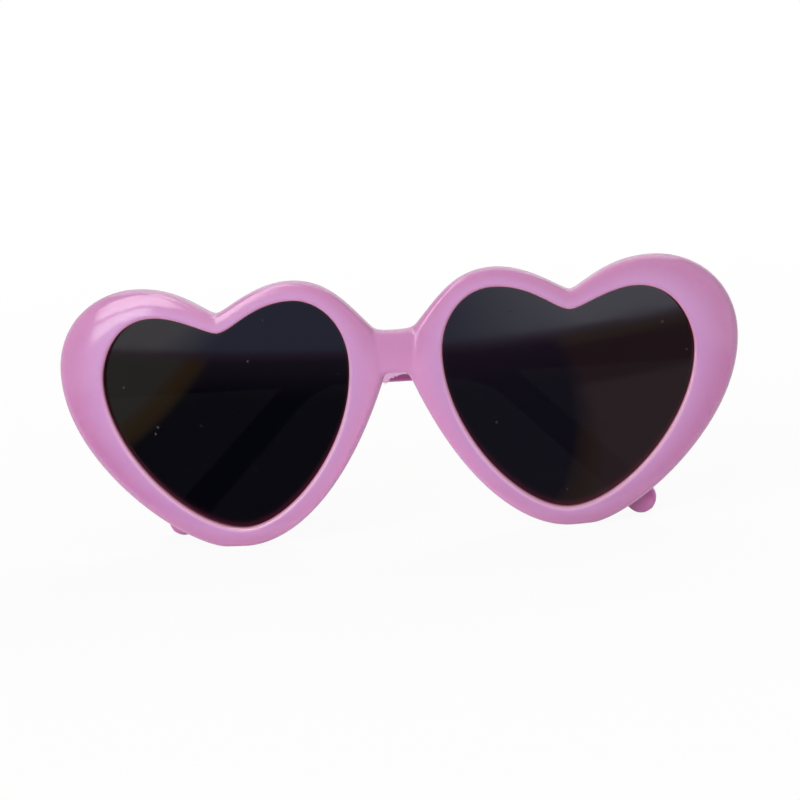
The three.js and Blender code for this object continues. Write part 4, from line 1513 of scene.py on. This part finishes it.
# %% Floor
FLOOR_NEAR = 0.06
FLOOR_FAR = 0.40
FLOOR_GLOW = 0.92
FLOOR_WHITE = (0.93, 0.93, 0.93, 1.0)
FLOOR_CORNERS = [(-20, -20), (20, -20), (20, 20), (-20, 20)]
FLOOR_HEIGHT = -0.00003
WHITE = (1.0, 1.0, 1.0, 1.0)


def new_sheet(name, corners, material):
    """A flat sheet between these corners, which isn't part of the glasses."""
    mesh = bpy.data.meshes.new(name)
    mesh.from_pydata(corners, [], [range(len(corners))])
    mesh.materials.append(material)
    sheet = bpy.data.objects.new(name, mesh)
    bpy.context.scene.collection.objects.link(sheet)
    return sheet


def at_height(corners, height):
    """Corners that all lie at one height."""
    return [(x, y, height) for x, y in corners]


def seen_directly(nodes):
    """1 for what the camera sees, straight or in a mirror or through glass, and 0 for soft light."""
    path = nodes.add("ShaderNodeLightPath")
    seen = nodes.number(path, "Is Camera Ray") + nodes.number(path, "Is Glossy Ray")
    return (seen + nodes.number(path, "Is Transmission Ray")).held()


def floor_white():
    material, nodes, shader, place = new_finish("floor_white")
    nodes.fill(shader, {"Base Color": FLOOR_WHITE, "Roughness": 0.9, "Specular IOR Level": 0.0})
    far = ((nodes.length(place) - FLOOR_NEAR) / (FLOOR_FAR - FLOOR_NEAR)).held()
    plain = (FLOOR_GLOW + far * (1.0 - FLOOR_GLOW)) * seen_directly(nodes)
    glow = nodes.add("ShaderNodeEmission", None, {"Color": WHITE, "Strength": 1.0})
    mixed = nodes.add("ShaderNodeMixShader", None, {"Fac": plain, 1: shader, 2: glow})
    nodes.fill(material.node_tree.nodes["Material Output"], {"Surface": mixed})
    return material


new_sheet("floor", at_height(FLOOR_CORNERS, FLOOR_HEIGHT), floor_white())
print("floor is plain white from", FLOOR_FAR, "m away")

# %% [markdown]
# ## Card that the lenses reflect
#
# Dark polished lenses show what lies in front of them. Tones painted on the lenses would stay in place
# when the camera moves, so a card lies on the floor towards the camera, as a photographer's would,
# and only reflections see it. It is dark in the middle, brown at its sides and pale at its far end.
# Its edges are straight or slightly bent lines, each with a soft change of tone across it.

# %% Tones and edges of the card
BLACK = (0.0, 0.0, 0.0, 1.0)
CARD_DARK = (0.020, 0.022, 0.065, 1.0)
CARD_DUSK = (0.115, 0.095, 0.190, 1.0)
CARD_LEFT = (0.46, 0.42, 0.37, 1.0)
CARD_BAND = (0.155, 0.115, 0.185, 1.0)
CARD_BAND_RIGHT = (0.210, 0.125, 0.265, 1.0)
CARD_RIGHT = (0.52, 0.32, 0.38, 1.0)
CARD_BROWN = (0.335, 0.175, 0.212, 1.0)
CARD_TAN = (0.50, 0.34, 0.27, 1.0)
CARD_FRINGE = (0.50, 0.27, 0.08, 1.0)
CARD_PLUM = (0.40, 0.16, 0.34, 1.0)
CARD_FAR_BLUE = (0.41, 0.43, 0.75, 1.0)
CARD_FAR_PALE = (1.15, 1.09, 1.21, 1.0)
CARD_FAR_WHITE = (1.45, 1.42, 1.75, 1.0)
CARD_CORNERS = [(-0.19, -0.34), (0.17, -0.34), (0.12, -0.012), (-0.125, -0.012)]
CARD_HEIGHT = 0.0004
CARD_SOFT = 0.016

# Lines between the tones: their places in metres, their slants and how much they bend
LEFT_EDGE_X = -0.0748
LEFT_EDGE_SLANT = 0.175
RIGHT_EDGE_X = 0.0563
RIGHT_EDGE_AHEAD = 0.11
RIGHT_EDGE_SLANT = 0.254
RIGHT_EDGE_BEND = 0.986
FAR_EDGE_AHEAD = 0.187
FAR_EDGE_SLANT = 0.10
FAR_EDGE_SLANT_FROM = 0.02
FAR_EDGE_BEND = 0.6

# Each change of tone starts at a place in metres and is complete after a run
DUSK_RUN = (-0.02, 0.03)
BAND_RUN = (0.13, 0.04)
BROWN_RUN = (0.118, 0.006)
TAN_RUN = (0.169, 0.006)
NEAR_FRINGE_RUN = (-0.09, 0.02)
FAR_PALE_RUN = (0.105, 0.03)
FAR_WHITE_RUN = (0.01, 0.08)
LEFT_FRINGE = 3.2
RIGHT_FRINGE = 1.5
FAR_FRINGE = 2.4
print("card lies", CARD_HEIGHT * 1000, "mm above the floor")


# %% Runs and edges of tone
def past(place, run):
    """0 up to the start of a run, and 1 from its end on."""
    start, length = run
    return ((place - start) / length).held()


def across_edge(gap, soft):
    """0 before an edge and 1 behind it, for the gap to the edge and the width of its change."""
    return (gap / soft + 0.5).held()


def fringe(side, strength):
    """Strongest on the edge itself, where the tone of a side is half there."""
    return (side * (1 - side) * strength).held()


print("helpers ready:", past.__name__, across_edge.__name__, fringe.__name__)


# %% Reflected card
def glow_only(nodes, shader, colour, strength):
    """Makes a shader glow and show nothing else."""
    nodes.fill(shader, {
        "Base Color": BLACK, "Specular IOR Level": 0.0,
        "Emission Color": colour, "Emission Strength": strength,
    })


def card_finish():
    """Dark in the middle, brown to the sides and pale at the far end, with soft edges between."""
    material, nodes, shader, place = new_finish("reflected_card")
    x, y, _ = nodes.parts(place)
    ahead = 0.0 - y
    leftward = 0.0 - x
    along = y + RIGHT_EDGE_AHEAD
    right_gap = x - RIGHT_EDGE_X + along * RIGHT_EDGE_SLANT + along * along * RIGHT_EDGE_BEND
    far_gap = x * x * FAR_EDGE_BEND - x.most(FAR_EDGE_SLANT_FROM) * FAR_EDGE_SLANT - FAR_EDGE_AHEAD - y
    left = across_edge(LEFT_EDGE_X + y * LEFT_EDGE_SLANT - x, CARD_SOFT)
    right = across_edge(right_gap, 0.5 * CARD_SOFT)
    far = across_edge(far_gap, CARD_SOFT)

    rightward = past(x, DUSK_RUN)
    band = nodes.blend(rightward, CARD_BAND, CARD_BAND_RIGHT)
    right_tone = nodes.blend(past(ahead, BROWN_RUN), CARD_RIGHT, CARD_BROWN)
    right_tone = nodes.blend(past(ahead, TAN_RUN), right_tone, CARD_TAN)
    far_tone = nodes.blend(past(leftward, FAR_PALE_RUN), CARD_FAR_BLUE, CARD_FAR_PALE)
    far_tone = nodes.blend(past(x, FAR_WHITE_RUN), far_tone, CARD_FAR_WHITE)
    tone = CARD_DARK
    for share, colour in (
        (rightward, CARD_DUSK),
        (past(ahead, BAND_RUN), band),
        (left, CARD_LEFT),
        (fringe(left, LEFT_FRINGE), CARD_FRINGE),
        (right, right_tone),
        (fringe(right, RIGHT_FRINGE) * past(y, NEAR_FRINGE_RUN), CARD_FRINGE),
        (far, far_tone),
        (fringe(far, FAR_FRINGE), CARD_PLUM),
    ):
        tone = nodes.blend(share, tone, colour)
    glow_only(nodes, shader, tone, 1.0)
    return material


def only_reflected(sheet):
    """Hides a sheet from everything but reflections."""
    sheet.visible_camera = False
    sheet.visible_diffuse = False
    sheet.visible_shadow = False
    sheet.visible_transmission = False


card_tones = card_finish()
only_reflected(new_sheet("reflected_card", at_height(CARD_CORNERS, CARD_HEIGHT), card_tones))
print("finish:", card_tones.name, len(card_tones.node_tree.nodes), "nodes")

# %% [markdown]
# ## Bright panels
#
# Glossy plastic shows each light as a bright shape with an outline. A window stands to the left, with
# a sill below it and an end that fades out, a small panel hangs over the left lobe, and a ceiling
# gives the upper edges a soft line. Lamps could do both jobs, but then each highlight would change
# the light on the plastic too. So the panels glow for reflections alone, and the lamps are hidden
# from reflections.

# %% Places of the bright panels
LEFT_LOBE = Vector((-0.033, -0.006, 0.027))
WINDOW_AWAY = 0.25
WINDOW_GLOW = 7.8
SILL_GLOW = 6.6
LOBE_PANEL_GLOW = 6.0
LOBE_PANEL_HEIGHT = 0.1
CEILING_GLOW = 2.8
CEILING_HEIGHT = 1.2

# Azimuth and elevation from the left lobe, and share of the full glow
WINDOW = [(-47.0, 5.0, 1.0), (-22.0, 11.5, 1.0), (-22.0, 58.0, 0.7), (-47.0, 58.0, 0.8)]
WINDOW_END = [(-22.0, 11.5, 1.0), (-14.0, 13.6, 0.0), (-14.0, 58.0, 0.0), (-22.0, 58.0, 0.7)]
SILL = [(-46.0, -2.5, 1.0), (-29.0, -2.5, 1.0), (-29.0, 7.5, 1.0), (-46.0, 2.5, 1.0)]
ABOVE_LOBE = [(-0.050, -0.085), (-0.024, -0.085), (-0.024, 0.0), (-0.050, 0.0)]
CEILING = [(-0.8, -0.25), (0.8, -0.25), (0.8, 1.0), (-0.8, 1.0)]
print("window stands", WINDOW_AWAY, "m away, ceiling hangs at", CEILING_HEIGHT, "m")

# %% Bright panels
SHARE_ATTRIBUTE = "glow_share"


def glowing(name, strength):
    """A white glow that follows a share kept on the sheet's corners."""
    material, nodes, shader, _ = new_finish(name)
    glow_only(nodes, shader, nodes.blend(nodes.attribute(SHARE_ATTRIBUTE), BLACK, WHITE), strength)
    return material


def way_out(azimuth, elevation):
    """The direction away from the glasses; azimuth 0 is the front, and left is negative."""
    a, e = math.radians(azimuth), math.radians(elevation)
    return Vector((math.sin(a) * math.cos(e), -math.cos(a) * math.cos(e), math.sin(e)))


def bright_panel(name, corners, shares, strength):
    """A bright sheet for reflections alone, with a share of the strength at each corner."""
    panel = new_sheet(name, corners, glowing(name, strength))
    share = panel.data.attributes.new(SHARE_ATTRIBUTE, "FLOAT", "POINT")
    share.data.foreach_set("value", shares)
    only_reflected(panel)
    print("panel:", name, strength)


def window_panel(name, corners, strength):
    """A bright panel whose corners are directions from the left lobe."""
    places = [LEFT_LOBE + WINDOW_AWAY * way_out(azimuth, elevation) for azimuth, elevation, _ in corners]
    bright_panel(name, places, [share for _, _, share in corners], strength)


def level_panel(name, corners, height, strength):
    """An even bright panel that hangs level."""
    bright_panel(name, at_height(corners, height), [1.0] * len(corners), strength)


window_panel("window", WINDOW, WINDOW_GLOW)
window_panel("window_end", WINDOW_END, WINDOW_GLOW)
level_panel("above_lobe", ABOVE_LOBE, LOBE_PANEL_HEIGHT, LOBE_PANEL_GLOW)
window_panel("window_sill", SILL, SILL_GLOW)
level_panel("ceiling", CEILING, CEILING_HEIGHT, CEILING_GLOW)

# %% [markdown]
# ## World and lamps
#
# Three soft lamps light the pair at a plain level: a large one ahead to the left, a weak one above,
# and one behind that keeps the back from going dark. A picture of a studio round the scene would do
# the same, but lamps can be changed one at a time. The world adds an even, slightly warm light, and
# shows as plain white to the camera and in reflections.

# %% World and lamps
GLASSES = Vector((0.0, 0.0, 0.016))
WORLD_LIGHT = 0.40
WORLD_WARM = (1.0, 0.97, 0.94, 1.0)
KEY_COLOUR = (0.95, 0.99, 1.0)


def soft_world():
    world = bpy.data.worlds.new("studio")
    world.use_nodes = True
    bpy.context.scene.world = world
    nodes = Nodes(world.node_tree)
    background = world.node_tree.nodes["Background"]
    seen = seen_directly(nodes)
    strength = WORLD_LIGHT + seen * (1.0 - WORLD_LIGHT)
    nodes.fill(background, {"Color": nodes.blend(seen, WORLD_WARM, WHITE), "Strength": strength})


def softbox(name, azimuth, elevation, away, side, glow, colour=WHITE[:3]):
    """A soft square lamp aimed at the glasses; azimuth 0 is the front, and left is negative."""
    lamp = bpy.data.lights.new(name, "AREA")
    lamp.shape = "SQUARE"
    lamp.size = side
    lamp.energy = glow * math.pi * side * side
    lamp.color = colour
    thing = bpy.data.objects.new(name, lamp)
    bpy.context.scene.collection.objects.link(thing)
    back = way_out(azimuth, elevation)
    thing.location = GLASSES + back * away
    thing.rotation_euler = back.to_track_quat("Z", "Y").to_euler()
    thing.visible_glossy = False
    print("lamp:", name, round(lamp.energy, 2), "W")


soft_world()
softbox("key", azimuth=-26.0, elevation=20.0, away=1.0, side=0.6, glow=5.3, colour=KEY_COLOUR)
softbox("top", azimuth=0.0, elevation=80.0, away=0.6, side=0.40, glow=0.5)
softbox("back", azimuth=160.0, elevation=35.0, away=1.0, side=0.6, glow=3.4)

# %% [markdown]
# ## Camera
#
# The photograph was taken from almost straight ahead and a little above, and the picture is tilted
# by about four degrees. The camera stands 0.4 m away on that line, turned by the same angle about
# its own axis.

# %% Camera
CAMERA_YAW = math.radians(2.668)
CAMERA_ELEVATION = math.radians(8.0)
CAMERA_ROLL = math.radians(-4.256)
CAMERA_AWAY = 0.4
CAMERA_LENS = 145.8
SENSOR_WIDTH = 36.0
CLIP_START = 0.01
AIM = Vector((0.000205, BACK_SHIFT * MM, 0.0174))


def add_camera():
    camera = bpy.data.objects.new("camera", bpy.data.cameras.new("camera"))
    bpy.context.scene.collection.objects.link(camera)
    camera.data.lens = CAMERA_LENS
    camera.data.sensor_width = SENSOR_WIDTH
    camera.data.sensor_fit = "HORIZONTAL"
    camera.data.clip_start = CLIP_START
    back = Vector((
        math.sin(CAMERA_YAW) * math.cos(CAMERA_ELEVATION),
        -math.cos(CAMERA_YAW) * math.cos(CAMERA_ELEVATION),
        math.sin(CAMERA_ELEVATION),
    ))
    level = Vector((math.cos(CAMERA_YAW), math.sin(CAMERA_YAW), 0.0))
    up = back.cross(level)
    right = math.cos(CAMERA_ROLL) * level + math.sin(CAMERA_ROLL) * up
    turned_up = math.cos(CAMERA_ROLL) * up - math.sin(CAMERA_ROLL) * level
    turn = Matrix((right, turned_up, back)).transposed().to_4x4()
    camera.matrix_world = Matrix.Translation(AIM + back * CAMERA_AWAY) @ turn
    bpy.context.scene.camera = camera


add_camera()
bpy.context.scene.view_settings.view_transform = "Standard"
print("camera:", CAMERA_LENS, "mm lens,", CAMERA_AWAY, "m away")
